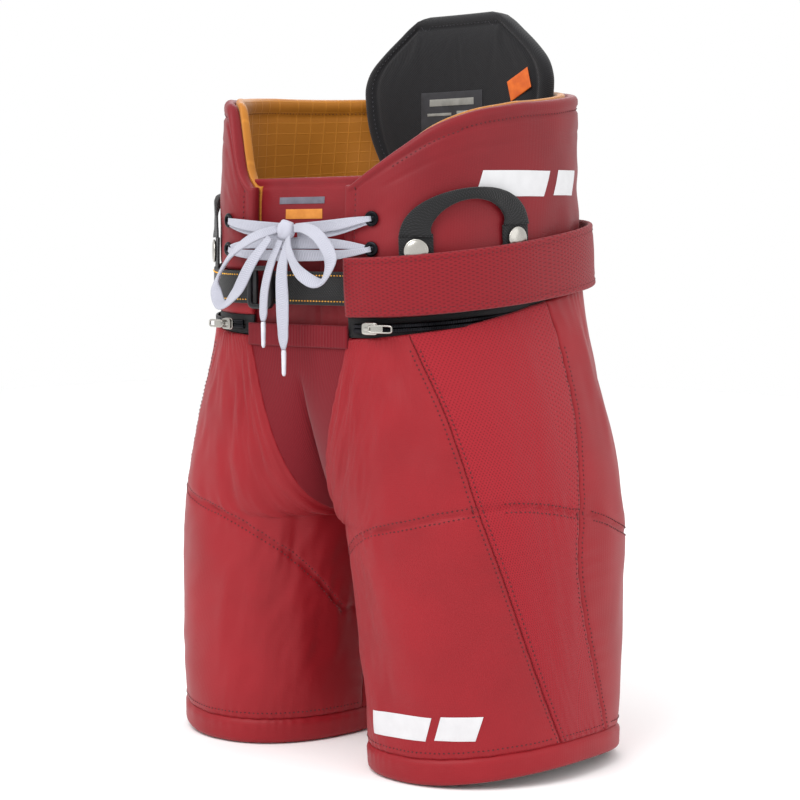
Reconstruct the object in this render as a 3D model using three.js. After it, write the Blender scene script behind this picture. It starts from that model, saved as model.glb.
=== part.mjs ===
// Hockey pants, built panel by panel: hip girdle with two kidney wings, spine pad, laced fly,
// belt with a slide buckle, braces loops, shell zips and two padded legs. Millimetres, +Z up,
// the wearer's front faces -Y and the wearer's left is +X.
import * as THREE from "three";
import { mergeVertices } from "three/addons/utils/BufferGeometryUtils.js";

// ---- driving sizes ----
const clearance = 0.4;        // gap left between two pieces that touch
const seatGap = 0.8;         // gap where a curved piece is seated on another
const layerGap = 1.6;         // gap between two curved layers, one over the other
const hemHeight = 17;         // padded band round each leg opening
const hemLift = 9;            // the outer side of the hem stands this much off the ground
const hemBulge = 2.5;         // the band stands out from the leg by this
const thighTop = 145;         // top of the stiff thigh section
const crotchZ = 163;          // where the two legs meet
const joinHeight = 100;       // height over which the legs blend into the trunk
const hipZ = 286;             // front end of the zip line
const waistZ = 356;
const ribZ = 440;
const zipRise = 22;           // the zip and belt line climbs by this towards the back
const zipGroove = 13;
const beltHeight = 38;
const beltGrowth = 5;         // the wrap is this much taller at the back
const webbingWidth = 22;
const webbingThick = 1.8;
const wrapGap = 4.8;         // the wrap stands off the wings by this
const wrapThick = 4;
const wrapEndX = 49;          // front end of the mesh wrap on the wearer's left
const wrapEndTurn = 0.42;     // where the wrap starts on the wearer's right, 0 front to 1 back
const shellThick = 6;
const guardGap = 2.2;
const guardThick = 2.5;
const foamThick = 6;
const liningThick = 2;
const wingThick = 9;
const wingEdgeX = 42;         // front edge of each kidney wing
const wingBackX = 6;          // back edge of each kidney wing
const wingFrontTop = 383;
const wingSideTop = 436;
const wingBackTop = 455;
const tongueHalf = 62;
const tongueThick = 5;
const tongueTop = 391;
const gussetTopHalf = 33;
const gussetLowHalf = 4;
const gussetThick = 2.5;
const hipPadThick = 12;
const padWide = 174;          // spine pad at its widest
const padLow = 118;
const padCrown = 92;
const padThick = 13;
const padBottomZ = 374;
const padShoulderZ = 452;
const padTopZ = 511;
const padGap = 3.7;           // between the spine pad and the wing linings
const eyeletRadius = 5;
const eyeletHole = 2.6;
const eyeletX = 66;
const upperEyeletZ = 363;
const lowerEyeletZ = 343.5;
const laceWidth = 9;
const laceThick = 2;
const loopSpan = 70;          // braces loop, base to base
const loopRise = 28;           // above its bend line
const loopTurn = 0.325;
const loopWide = 22;
const loopNarrow = 8;
const rivetRadius = 8;
const rivetThick = 1.2;
const rivetShank = 4.5;
const buckleWidth = 24;
const buckleHeight = 29;
const buckleX = -28;
const buckleBar = 5;
const buckleThick = 4;
const zipStartX = 60;
const zipEndTurn = 0.52;
const coilWidth = 5;
const sliderLength = 11;
const sliderHeight = 8;
const sliderThick = 4;
const pullLength = 19;
const pullHeight = 6;
const pullThick = 1.4;
const pullHeel = 0.6;         // how far the pull tab reaches behind its pivot

// ---- the skin: one half of the body, as stations up its height ----
// centre: x of the leg's middle; side, front, back: reach of the section; gap: half the space
// between the legs.
const stations = [
  { z: 0, centre: 88, side: 77, front: 86, back: 94, gap: 25 },
  { z: 96, centre: 85, side: 81, front: 89, back: 99, gap: 18 },
  { z: crotchZ, centre: 78, side: 85, front: 92, back: 106, gap: 5 },
  { z: 225, centre: 65, side: 83, front: 92, back: 110, gap: 0 },
  { z: hipZ, centre: 51, side: 79, front: 90, back: 108, gap: 0 },
  { z: waistZ, centre: 48, side: 76, front: 91, back: 103, gap: 0 },
  { z: ribZ, centre: 44, side: 78, front: 88, back: 106, gap: 0 },
];

// smooth value of one column of the stations at height z
function at(z, key) {
  const last = stations.length - 1;
  let i = 0;
  while (i < last - 1 && z > stations[i + 1].z) i += 1;
  const slope = (k) => {
    const a = stations[Math.max(k - 1, 0)];
    const b = stations[Math.min(k + 1, last)];
    return (b[key] - a[key]) / (b.z - a.z);
  };
  const p = stations[i];
  const q = stations[i + 1];
  const span = q.z - p.z;
  const s = Math.min(Math.max((z - p.z) / span, 0), 1);
  const rise = (q[key] - p[key]);
  const hermite = s * s * (3 - 2 * s) * rise;
  return p[key] + hermite + span * s * (1 - s) * ((1 - s) * slope(i) - s * slope(i + 1));
}

const frontPower = 1;
const backPower = 0.78;
const innerPower = 0.85;

// Point of the left half's skin. turn runs -1 (inner seam) to 0 (front) to 1 (back) to 2 (inner
// seam again); inset moves the point into the body.
function skin(turn, z, inset = 0) {
  const centre = at(z, "centre");
  const front = at(z, "front") - inset;
  const back = at(z, "back") - inset;
  const join = Math.sqrt(Math.min(Math.max((z - crotchZ) / joinHeight, 0), 1));
  if (turn >= 0 && turn <= 1) {
    const a = turn * Math.PI;
    const power = turn < 0.5 ? frontPower : backPower;
    const c = Math.sign(Math.cos(a)) * Math.abs(Math.cos(a)) ** power;
    const reach = (at(z, "side") - inset) * Math.sin(a) ** power;
    return [centre + reach, c > 0 ? -front * c : -back * c];
  }
  const a = (turn < 0 ? -turn : turn - 1) * Math.PI / 2;
  const edge = turn < 0 ? -front : back;
  const valley = edge * join;
  const reach = centre - at(z, "gap") * (1 - join) - inset * (1 - join);
  const x = centre - reach * Math.sin(a) ** innerPower;
  return [x, valley + (edge - valley) * Math.max(Math.cos(a), 0) ** innerPower];
}

// turn at which the inner quarter of the skin passes x, on the front (sign -1) or back (+1)
function turnAt(x, z, sign) {
  const centre = at(z, "centre");
  if (x >= centre) {
    const a = Math.asin(Math.min((x - centre) / at(z, "side"), 1) ** (1 / (sign < 0 ? frontPower : backPower)));
    return sign < 0 ? a / Math.PI : 1 - a / Math.PI;
  }
  const join = Math.sqrt(Math.min(Math.max((z - crotchZ) / joinHeight, 0), 1));
  const reach = centre - at(z, "gap") * (1 - join);
  const a = Math.asin(Math.min((centre - x) / reach, 1) ** (1 / innerPower));
  return sign < 0 ? -a / (Math.PI / 2) : 1 + a / (Math.PI / 2);
}

// turn reached after walking dist along the skin at height z
function walk(turn, dist, z) {
  const steps = 24;
  let t = turn;
  for (let i = 0; i < steps; i += 1) {
    const [x0, y0] = skin(t, z);
    const [x1, y1] = skin(t + 1e-3, z);
    t += dist / steps * 1e-3 / Math.hypot(x1 - x0, y1 - y0);
  }
  return t;
}

// height of a line that climbs with the belt: 0 rise at the front, zipRise at the back
function climb(y) {
  const front = at(hipZ, "front");
  return zipRise * (y + front) / (front + at(hipZ, "back"));
}

// ---- making closed solids ----
const group = new THREE.Group();
const paint = {
  nylon: { color: 0xa8283a, roughness: 0.55 },
  mesh: { color: 0x8f2231, roughness: 0.75 },
  knit: { color: 0x7d1f2c, roughness: 0.85 },
  gold: { color: 0xb8751c, roughness: 0.6 },
  black: { color: 0x1c1b1e, roughness: 0.75 },
  lace: { color: 0xd8d9e4, roughness: 0.8 },
  metal: { color: 0xb9bbbd, roughness: 0.3, metalness: 1 },
  darkMetal: { color: 0x2e2f33, roughness: 0.4, metalness: 0.8 },
  plastic: { color: 0x2a2b2f, roughness: 0.5 },
  foam: { color: 0x5a5a5e, roughness: 0.9 },
  tag: { color: 0xd2691a, roughness: 0.6 },
};

function add(name, geometry, look) {
  geometry.deleteAttribute("normal");
  geometry.deleteAttribute("uv");
  const merged = mergeVertices(geometry, 1e-4);
  const p = merged.attributes.position;
  const index = merged.index.array;
  const corners = [new THREE.Vector3(), new THREE.Vector3(), new THREE.Vector3()];
  let volume = 0;
  for (let i = 0; i < index.length; i += 3) {
    corners.forEach((v, k) => v.fromBufferAttribute(p, index[i + k]));
    volume += corners[0].dot(corners[1].cross(corners[2]));
  }
  if (volume < 0) {
    for (let i = 0; i < index.length; i += 3) {
      const keep = index[i];
      index[i] = index[i + 1];
      index[i + 1] = keep;
    }
  }
  merged.computeVertexNormals();
  const mesh = new THREE.Mesh(merged, new THREE.MeshStandardMaterial(paint[look]));
  mesh.name = name;
  group.add(mesh);
}

// A box of columns by rows whose corners are moved to place(u, v, w), each 0 to 1.
function bentBox(columns, rows, place) {
  const g = new THREE.BoxGeometry(1, 1, 1, columns, rows, 1);
  const p = g.attributes.position;
  for (let i = 0; i < p.count; i += 1) {
    p.setXYZ(i, ...place(p.getX(i) + 0.5, p.getY(i) + 0.5, p.getZ(i) + 0.5));
  }
  return g;
}

// A closed band: a lathed square tube whose corners are moved to place(u, v, w).
function closedBand(columns, rows, place) {
  const profile = [];
  for (let i = 0; i <= rows; i += 1) profile.push(new THREE.Vector2(2, i / rows));
  for (let i = rows; i >= 0; i -= 1) profile.push(new THREE.Vector2(1, i / rows));
  profile.push(new THREE.Vector2(2, 0));
  const g = new THREE.LatheGeometry(profile, columns);
  const p = g.attributes.position;
  for (let i = 0; i < p.count; i += 1) {
    const [r, v] = profile[i % profile.length].toArray();
    const u = (Math.floor(i / profile.length) % columns) / columns;
    p.setXYZ(i, ...place(u, v, r - 1));
  }
  return g;
}

const mix = (a, b, s) => a + (b - a) * s;

// A panel of the left (side 1) or right (side -1) half between two turns and two heights.
// from, to, low and high may be numbers or functions; inner and outer are insets.
function panel(side, from, to, low, high, outer, inner, columns, rows) {
  const value = (v, ...args) => (typeof v === "function" ? v(...args) : v);
  return bentBox(columns, rows, (u, v, w) => {
    let z = mix(value(low, 0), value(high, 0), v);
    let turn = 0;
    for (let k = 0; k < 3; k += 1) {
      turn = mix(value(from, z), value(to, z), u);
      if (turn > 2) turn -= 3;
      z = mix(value(low, turn), value(high, turn), v);
    }
    const [x, y] = skin(turn, z, mix(inner, outer, w));
    return [side * x, y, z];
  });
}

// height function of a line that follows the belt's climb at an offset above its front end
const beltLine = (offset, growth = 0) => (turn) => {
  const [, y] = skin(turn, hipZ);
  return hipZ + offset + climb(y) * (1 + growth / zipRise);
};
const zipLow = beltLine(0);
const zipHigh = beltLine(zipGroove);
const wrapLow = beltLine(zipGroove + 1);
const wrapHigh = beltLine(zipGroove + 1 + beltHeight, beltGrowth);
const webLow = beltLine(zipGroove + 1 + (beltHeight - webbingWidth) / 2 - 1);
const webHigh = beltLine(zipGroove + 1 + (beltHeight + webbingWidth) / 2 - 1);
const wingLow = beltLine(zipGroove + beltHeight - 8);
const sides = [["left", 1], ["right", -1]];

// both halves in one closed piece: runs from the left half's turn over the back to the right's
function acrossBack(fromTurn, low, high, outer, inner, columns, rows) {
  return bentBox(columns, rows, (u, v, w) => {
    const half = u < 0.5 ? 1 : -1;
    const turn = mix(fromTurn, 2, 1 - Math.abs(2 * u - 1));
    const z = mix(low(turn), high(turn), v);
    const [x, y] = skin(turn, z, mix(inner, outer, w));
    return [half * x, y, z];
  });
}

// ---- hip shell and fly ----
const flyTurn = turnAt(wingEdgeX, waistZ, -1);
const hipHigh = (turn) => wingLow(turn) - clearance;
const hipLow = (turn) => zipHigh(turn) + clearance;
add("hip_shell", acrossBack(flyTurn, hipLow, hipHigh, 0, shellThick, 40, 1), "nylon");

function acrossFront(half, low, high, outer, inner, columns, rows) {
  return bentBox(columns, rows, (u, v, w) => {
    const z = mix(low, high, v);
    const x = mix(-half, half, u);
    const [, y] = skin(turnAt(Math.abs(x), z, -1), z, mix(inner, outer, w));
    return [x, y, z];
  });
}
const tongueOuter = wingThick + seatGap;
const flyLow = hipZ + clearance;
add("tongue", acrossFront(tongueHalf, flyLow, tongueTop, tongueOuter, tongueOuter + tongueThick, 12, 3), "nylon");

// ---- kidney wings ----
function wingTop(turn) {
  const s = Math.min(Math.max(turn, 0), 1);
  const rise = s < 0.5 ? mix(wingFrontTop, wingSideTop, Math.sin(s * Math.PI)) : 0;
  if (s < 0.5) return rise;
  const back = mix(wingSideTop, wingBackTop, Math.sin((s - 0.5) * Math.PI));
  return turn > 1 ? back - 18 * (turn - 1) : back;
}
for (const [word, side] of sides) {
  const start = (z) => turnAt(wingEdgeX, z, -1);
  const stop = (z) => turnAt(wingBackX, z, 1);
  const top = (turn) => wingTop(turn);
  add(`kidney_wing_${word}`, panel(side, start, stop, wingLow, top, 0, wingThick, 30, 3), "nylon");
  const liningStart = (z) => turnAt(tongueHalf + clearance + tongueThick, z, -1);
  const liningTop = (turn) => top(turn) - 4;
  add(`wing_lining_${word}`, panel(side, liningStart, stop, (t) => wingLow(t) - 20, liningTop,
    wingThick + layerGap, wingThick + layerGap + liningThick, 28, 2), "gold");
}

// ---- belt: mesh wraps, webbing and buckle ----
const wrapInset = -wrapGap;
const webInset = -seatGap - 0.3;
const wrapStart = turnAt(wrapEndX, waistZ, -1);
add("hip_wrap_left", panel(1, wrapStart, 1.96, wrapLow, wrapHigh, wrapInset - wrapThick, wrapInset, 30, 1), "mesh");
add("hip_wrap_right", panel(-1, wrapEndTurn, 1.96, wrapLow, wrapHigh, wrapInset - wrapThick, wrapInset, 22, 1), "mesh");

// the webbing stays flat across the fly, at the distance the wings hold it
function webbing(fromX, toX, columns) {
  return bentBox(columns, 1, (u, v, w) => {
    const x = mix(fromX, toX, u);
    const turn = turnAt(Math.abs(x), waistZ, -1);
    const z = mix(webLow(turn), webHigh(turn), v);
    const [, y] = skin(turn, waistZ, mix(webInset, webInset - webbingThick, w));
    return [x, y, z];
  });
}
add("belt_webbing_left", webbing(buckleX + buckleWidth / 2 - buckleBar, wrapEndX - clearance, 6), "black");
const strapTurn = turnAt(-buckleX + buckleWidth / 2 - buckleBar, waistZ, -1);
add("belt_webbing_right", panel(-1, strapTurn, wrapEndTurn - 0.005, webLow, webHigh,
  webInset - webbingThick, webInset, 14, 1), "black");

const frontY = -at(waistZ, "front");
const beltMidZ = (webLow(0) + webHigh(0)) / 2;
function frame(width, height, bar, thick) {
  const outline = new THREE.Shape();
  outline.moveTo(-width / 2, -height / 2);
  outline.lineTo(width / 2, -height / 2);
  outline.lineTo(width / 2, height / 2);
  outline.lineTo(-width / 2, height / 2);
  outline.closePath();
  const window = new THREE.Path();
  window.moveTo(-width / 2 + bar, -height / 2 + bar / 2);
  window.lineTo(-width / 2 + bar, height / 2 - bar / 2);
  window.lineTo(width / 2 - bar, height / 2 - bar / 2);
  window.lineTo(width / 2 - bar, -height / 2 + bar / 2);
  window.closePath();
  outline.holes.push(window);
  return new THREE.ExtrudeGeometry(outline, { depth: thick, bevelEnabled: false });
}
const buckleY = frontY + webInset - webbingThick - clearance;
const buckle = frame(buckleWidth, buckleHeight, buckleBar, buckleThick);
buckle.rotateX(Math.PI / 2);
buckle.translate(buckleX, buckleY, beltMidZ);
add("buckle_frame", buckle, "darkMetal");

// ---- eyelets and lace ----
function ring(outerRadius, holeRadius, thick) {
  const profile = [[holeRadius, 0], [outerRadius, 0], [outerRadius, thick], [holeRadius, thick], [holeRadius, 0]];
  return new THREE.LatheGeometry(profile.map(([r, h]) => new THREE.Vector2(r, h)), 16);
}
// move a piece so that its +X runs along the skin to the rear, +Y points out and +Z stays up
function onSkin(geometry, side, turn, z, inset) {
  const [x0, y0] = skin(turn - 0.01, z, inset);
  const [x1, y1] = skin(turn + 0.01, z, inset);
  const along = new THREE.Vector3(x1 - x0, y1 - y0, 0).normalize();
  const out = new THREE.Vector3(along.y, -along.x, 0);
  const [x, y] = skin(turn, z, inset);
  const turned = new THREE.Matrix4().makeBasis(along, out, new THREE.Vector3(0, 0, 1));
  geometry.applyMatrix4(turned.setPosition(x, y, z));
  if (side < 0) geometry.scale(-1, 1, 1);
  return geometry;
}
for (const [word, side] of sides) {
  for (const [row, z] of [["upper", upperEyeletZ], ["lower", lowerEyeletZ]]) {
    const g = onSkin(ring(eyeletRadius, eyeletHole, 1.4), side, turnAt(eyeletX, z, -1), z, -clearance - 0.2);
    add(`eyelet_${row}_${word}`, g, "darkMetal");
  }
}
const laceInset = -2.6;
const laceSpan = eyeletX - 1;
const laceY = (x, z) => skin(turnAt(Math.abs(x), z, -1), z, laceInset)[1];
function laceRow(zEnd, zMid, drop) {
  return bentBox(12, 1, (u, v, w) => {
    const x = mix(-laceSpan, laceSpan, u);
    const s = Math.abs(x) / laceSpan;
    const z = mix(zMid, zEnd, s) + (v - 0.5) * mix(laceWidth, eyeletHole * 2, s ** 4);
    return [x, laceY(x, zMid) - w * laceThick - drop, z];
  });
}
const knotZ = 356;
const knotDepth = 8;
add("lace_row_lower", laceRow(lowerEyeletZ, lowerEyeletZ, 0), "lace");
add("lace_row_upper", laceRow(upperEyeletZ, knotZ, 0), "lace");
const knotBack = laceY(0, knotZ) - laceThick - clearance;
const knot = new THREE.SphereGeometry(1, 10, 8);
knot.scale(7, knotDepth / 2, 7.5);
knot.translate(0, knotBack - knotDepth / 2, knotZ);
add("lace_knot", knot, "lace");

// flat lace along a curve: eight-sided section, wider than thick
function laceTube(points, steps, wide, thick) {
  const section = new THREE.Shape();
  for (let i = 0; i < 8; i += 1) {
    const a = (i + 0.5) / 8 * Math.PI * 2;
    const x = thick / 2 * Math.cos(a);
    const y = wide / 2 * Math.sin(a);
    if (i) section.lineTo(x, y);
    else section.moveTo(x, y);
  }
  section.closePath();
  const path = new THREE.CatmullRomCurve3(points.map((p) => new THREE.Vector3(...p)));
  return new THREE.ExtrudeGeometry(section, { steps, extrudePath: path, bevelEnabled: false });
}
const knotFront = knotBack - knotDepth / 2;
const bow = {
  left: [[7.6, 0, 1], [22, -5, 1], [40, -9, -6], [50, -10, -20], [44, -13, -34], [28, -15, -28],
    [16, -13, -14], [8.4, -6.5, -5]],
  right: [[-7.6, 0, 1], [-26, -5, -5], [-48, -8, -20], [-58, -9, -38], [-50, -12, -50], [-34, -14, -42],
    [-18, -13, -20], [-8.4, -6.5, -5]],
};
const tail = {
  left: [[2.5, -1, -7.4], [4, -7.5, -24], [6, -9.5, -48], [7, -9.5, -78]],
  right: [[-4, -1, -6.8], [-7, -6, -20], [-10, -9.5, -38], [-12, -9.5, -60]],
};
const agletLength = 17;
for (const [word] of sides) {
  const from = ([x, y, z]) => [x, knotFront + y, knotZ + z];
  add(`lace_bow_${word}`, laceTube(bow[word].map(from), 12, laceWidth, laceThick * 1.2), "lace");
  add(`lace_tail_${word}`, laceTube(tail[word].map(from), 6, laceWidth, laceThick * 1.2), "lace");
  const [x, y, z] = from(tail[word][tail[word].length - 1]);
  const tip = new THREE.CylinderGeometry(1.7, 1.4, agletLength, 8);
  tip.rotateX(Math.PI / 2);
  tip.translate(x, y, z - agletLength / 2 - clearance);
  add(`lace_aglet_${word}`, tip, "lace");
}

// ---- braces loops: two riveted feet, and a webbing arch that bends out above them ----
const rivetRise = 2;          // rivet centres above the top edge of the wrap
const bendRise = rivetRise + rivetRadius + 1;
for (const [word, side] of sides) {
  const strap = bentBox(14, 1, (u, v, w) => {
    const a = Math.PI * (1 - u);
    const wide = mix(loopWide, loopNarrow, Math.sin(a) ** 1.5);
    const s = (v - 0.5) * wide;
    const along = (loopSpan / 2 - wide / 2 * Math.sin(a) ** 2) * Math.cos(a) + s * Math.cos(a);
    const up = (loopRise - loopNarrow / 2) * Math.sin(a) ** 0.8 + s * Math.sin(a);
    const t = walk(loopTurn, along, waistZ);
    const z = wrapHigh(t) + bendRise + Math.max(up, 0.3);
    const [x, y] = skin(t, z, -seatGap - clearance - webbingThick * w);
    return [side * x, y, z];
  });
  add(`braces_loop_${word}`, strap, "black");
  for (const [end, dir] of [["front", -1], ["rear", 1]]) {
    const t = walk(loopTurn, dir * loopSpan / 2, waistZ);
    const profile = [[0, 0], [rivetShank, 0], [rivetShank, webbingThick], [rivetRadius, webbingThick],
      [rivetRadius * 0.8, webbingThick + rivetThick], [0, webbingThick + rivetThick]];
    const rivet = new THREE.LatheGeometry(profile.map(([r, h]) => new THREE.Vector2(r, h)), 14);
    add(`loop_rivet_${end}_${word}`, onSkin(rivet, side, t, wrapHigh(t) + rivetRise, -clearance), "metal");
  }
}

// ---- shell zips ----
const zipStart = turnAt(zipStartX, hipZ, -1);
const coilInset = -0.4;
const sliderInset = coilInset - seatGap + 0.2;
for (const [word, side] of sides) {
  const low = (t) => zipLow(t) + clearance;
  const high = (t) => zipHigh(t) - clearance;
  const middle = (t) => (zipLow(t) + zipHigh(t)) / 2;
  add(`zip_tape_${word}`, panel(side, flyTurn, zipEndTurn, low, high, 1, 2.6, 14, 1), "black");
  add(`zip_coil_${word}`, panel(side, zipStart, zipEndTurn - 0.01, (t) => middle(t) - coilWidth / 2,
    (t) => middle(t) + coilWidth / 2, coilInset, coilInset + 1, 14, 1), "darkMetal");
  const t0 = walk(zipStart, sliderLength / 2 + 1, hipZ);
  const slider = new THREE.BoxGeometry(sliderLength, sliderThick, sliderHeight);
  slider.translate(0, sliderThick / 2, 0);
  add(`zip_slider_${word}`, onSkin(slider, side, t0, middle(t0), sliderInset), "metal");
  const pull = new THREE.BoxGeometry(pullLength, pullThick, pullHeight);
  pull.translate(pullLength / 2 - pullHeel, pullThick / 2, 0);
  add(`zip_pull_${word}`, onSkin(pull, side, t0, middle(t0), sliderInset - sliderThick - clearance), "metal");
}

// ---- spine pad ----
const padInset = wingThick + liningThick + layerGap + padGap;
const padBack = at(waistZ, "back") - padInset;
const padOutline = [[-padLow / 2, padBottomZ], [-padWide / 2, padShoulderZ - 14], [-padWide / 2, padShoulderZ],
  [-padCrown / 2, padTopZ - 12], [-padCrown / 4, padTopZ], [padCrown / 4, padTopZ], [padCrown / 2, padTopZ - 12],
  [padWide / 2, padShoulderZ], [padWide / 2, padShoulderZ - 14], [padLow / 2, padBottomZ]];
// half width of the pad at height z
function padHalf(z) {
  const side = padOutline.filter(([x]) => x > 0).reverse();
  for (let i = 1; i < side.length; i += 1) {
    const [xa, za] = side[i - 1];
    const [xb, zb] = side[i];
    if (z <= zb) return mix(xa, xb, (z - za) / Math.max(zb - za, 1e-6));
  }
  return padCrown / 4;
}
// y of the back of the skin at x, with the skin drawn in by inset
function backY(x, z, inset) {
  const across = (x - at(z, "centre")) / (at(z, "side") - inset);
  const sine = Math.min(across, 1) ** (1 / backPower);
  return (at(z, "back") - inset) * Math.sqrt(1 - sine * sine) ** backPower;
}
// the pad wraps round the back so that its edges clear the wing linings by a quarter of the gap
const padSag = padBack - backY(padWide / 2, waistZ, padInset - padGap * 0.75);
const padCurve = padSag / (padWide / 2) ** 2;
const padY = (x, depth) => padBack - padCurve * x * x - depth;
function padPiece(half, low, high, front, back, columns, rows) {
  return bentBox(columns, rows, (u, v, w) => {
    const z = mix(low, high, v);
    const x = (u * 2 - 1) * Math.min(half, padHalf(z));
    return [x, padY(x, mix(back, front, w)), z];
  });
}
add("spine_pad", padPiece(padWide, padBottomZ, padTopZ, padThick, 0, 10, 10), "black");
add("spine_label", bentBox(3, 1, (u, v, w) => {
  const x = mix(-33, 24, u);
  return [x, padY(x, padThick + clearance + w * 0.8), mix(412, 456, v)];
}), "black");
const tagPlace = (u, v, w) => {
  const x = mix(50, 70, u) + (v - 0.5) * 12;
  const z = mix(469, 445, u) + (v - 0.5) * 9;
  return [x, padY(x, padThick + clearance + w * 0.8), z];
};
add("spine_tag", bentBox(2, 1, tagPlace), "tag");

// ---- inner pads of the girdle ----
for (const [word, side] of sides) {
  add(`hip_pad_${word}`, panel(side, 0.34, 0.72, 212, (t) => wingLow(t) - 22, shellThick + layerGap,
    shellThick + layerGap + hipPadThick, 8, 3), "foam");
}
add("tailbone_pad", bentBox(8, 4, (u, v, w) => {
  const x = mix(-48, 48, u);
  const z = mix(236, 328, v);
  const [, y] = skin(turnAt(Math.abs(x), z, 1), z, shellThick + seatGap + 0.3 + hipPadThick * (1 - w));
  return [x, y, z];
}), "foam");

// ---- crotch gusset: front valley, crotch and back valley in one strip ----
const gussetHalf = (z) => mix(gussetLowHalf, gussetTopHalf, ((z - crotchZ) / (hipZ - crotchZ)) ** 0.8);
const gussetFoot = crotchZ + 5;
function gussetPoint(x, z, sign, inset) {
  const [, y] = skin(turnAt(Math.abs(x), z, sign), z, inset);
  return [x, y, z];
}
add("crotch_gusset", bentBox(6, 18, (u, v, w) => {
  const sign = v < 0.5 ? -1 : 1;
  const top = sign < 0 ? hipZ - clearance : hipZ + zipRise + zipGroove - clearance;
  const z = mix(gussetFoot, top, Math.abs(2 * v - 1) ** 1.6);
  const x = (u * 2 - 1) * gussetHalf(Math.min(z, hipZ));
  const rise = gussetThick * (1 - w);
  const fold = Math.max(1 - (z - gussetFoot) / 40, 0);
  const [px, py, pz] = gussetPoint(x, z, sign, rise);
  return [px, py, pz + rise * fold];
}), "knit");

// ---- legs ----
const frontSeam = (z) => mix(0.5, 0.25, Math.min(z / thighTop, 1));
const rearSeam = (z) => mix(0.69, 0.56, Math.min(z / thighTop, 1));
const seamGap = 0.003;
// heights near the ground follow the lifted outer side of the hem
const lift = (turn) => hemLift * Math.sin(Math.min(Math.max(turn, 0), 1) * Math.PI) ** 2;
const liftAt = (base) => (turn) => base + lift(turn) * Math.max(1 - base / thighTop, 0);
for (const [word, side] of sides) {
  const full = (outer, inner, low, high, rows) => closedBand(36, rows, (u, v, w) => {
    const quarter = u < 0.25 ? u * 4 - 1 : 1 + (u - 0.75) * 4;
    const turn = u >= 0.25 && u <= 0.75 ? (u - 0.25) * 2 : quarter;
    const z = mix(liftAt(low)(turn), liftAt(high)(turn), v);
    const [x, y] = skin(turn, z, mix(inner, outer, w));
    return [side * x, y, z];
  });
  add(`leg_hem_${word}`, full(-hemBulge, shellThick + 1, 0, hemHeight, 1), "nylon");
  const low = liftAt(hemHeight + clearance);
  add(`thigh_mesh_${word}`, panel(side, (z) => frontSeam(z) + seamGap, (z) => rearSeam(z) - seamGap, low,
    liftAt(thighTop), 0, shellThick, 5, 4), "mesh");
  add(`thigh_shell_${word}`, panel(side, (z) => rearSeam(z) + seamGap, (z) => frontSeam(z) + 3 - seamGap, low,
    liftAt(thighTop), 0, shellThick, 36, 4), "nylon");
  const guardIn = shellThick + guardGap;
  add(`thigh_guard_${word}`, panel(side, -0.55, 0.85, 34, thighTop - 8, guardIn, guardIn + guardThick, 26, 2), "plastic");
  const foamIn = guardIn + guardThick + seatGap;
  add(`thigh_foam_${word}`, panel(side, -0.6, 0.9, 30, thighTop - 4, foamIn, foamIn + foamThick, 20, 2), "foam");
  const liningIn = foamIn + foamThick + seatGap;
  add(`leg_lining_${word}`, full(liningIn, liningIn + liningThick, hemHeight, thighTop, 2), "black");
  const from = (z) => turnAt(gussetHalf(Math.min(Math.max(z, crotchZ), hipZ)) + clearance + 0.3, z, -1);
  const to = (z) => turnAt(gussetHalf(Math.min(Math.max(z, crotchZ), hipZ)) + clearance + 0.3, z, 1);
  add(`upper_leg_${word}`, panel(side, from, to, thighTop + clearance, (t) => zipLow(t) - clearance, 0,
    shellThick, 24, 7), "nylon");
}

// ---- the origin: middle of the overall box without the lace, on the ground ----
const box = new THREE.Box3();
group.children.filter((m) => !m.name.startsWith("lace_")).forEach((m) => box.expandByObject(m));
const middle = box.getCenter(new THREE.Vector3());
group.children.forEach((m) => m.geometry.translate(-middle.x, -middle.y, -box.min.z));

export default group;
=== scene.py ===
# %% [markdown]
# # Hockey pants
# This lesson dresses a finished CAD frame of a pair of ice hockey pants: a padded girdle with two
# kidney wings, a laced fly, a belt, a spine pad and two padded nylon legs. The frame fixes every
# place and size, so each cell only makes a surface and its finish, and says which body moves it.

# %% Load the frame
import math

import bpy
import numpy as np
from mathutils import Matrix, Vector
from mathutils.bvhtree import BVHTree


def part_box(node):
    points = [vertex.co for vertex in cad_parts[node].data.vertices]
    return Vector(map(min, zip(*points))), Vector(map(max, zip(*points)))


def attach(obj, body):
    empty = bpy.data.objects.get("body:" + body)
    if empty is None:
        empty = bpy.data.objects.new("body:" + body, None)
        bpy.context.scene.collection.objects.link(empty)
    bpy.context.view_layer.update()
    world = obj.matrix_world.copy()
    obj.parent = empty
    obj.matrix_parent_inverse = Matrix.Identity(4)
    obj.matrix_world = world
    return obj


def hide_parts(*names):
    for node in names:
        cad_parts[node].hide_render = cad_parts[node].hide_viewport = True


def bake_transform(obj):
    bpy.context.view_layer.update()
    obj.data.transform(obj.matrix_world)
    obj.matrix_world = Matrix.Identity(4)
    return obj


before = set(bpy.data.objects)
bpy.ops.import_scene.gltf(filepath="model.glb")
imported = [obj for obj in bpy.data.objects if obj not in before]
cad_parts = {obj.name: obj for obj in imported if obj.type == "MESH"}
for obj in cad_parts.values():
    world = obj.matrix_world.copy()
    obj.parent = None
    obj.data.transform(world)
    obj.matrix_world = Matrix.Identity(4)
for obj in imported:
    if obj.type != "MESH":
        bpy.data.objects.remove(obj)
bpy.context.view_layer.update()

MM = 0.001
SIDES = (("left", 1), ("right", -1))

# %% [markdown]
# ## Camera, light and floor
# The camera comes first, because a free cord is judged by what the camera sees of it. A long lens
# from well back keeps the legs upright. One big soft key, a fill and a weak rim show the folds
# without hard shadows.

# %% Camera
AZIMUTH, ELEVATION = math.radians(42.0), math.radians(4.4)
TARGET = Vector((0, 0, 0.238))
DISTANCE, FOCAL_MM, SENSOR_MM = 1.416, 91.0, 36.0


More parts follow.
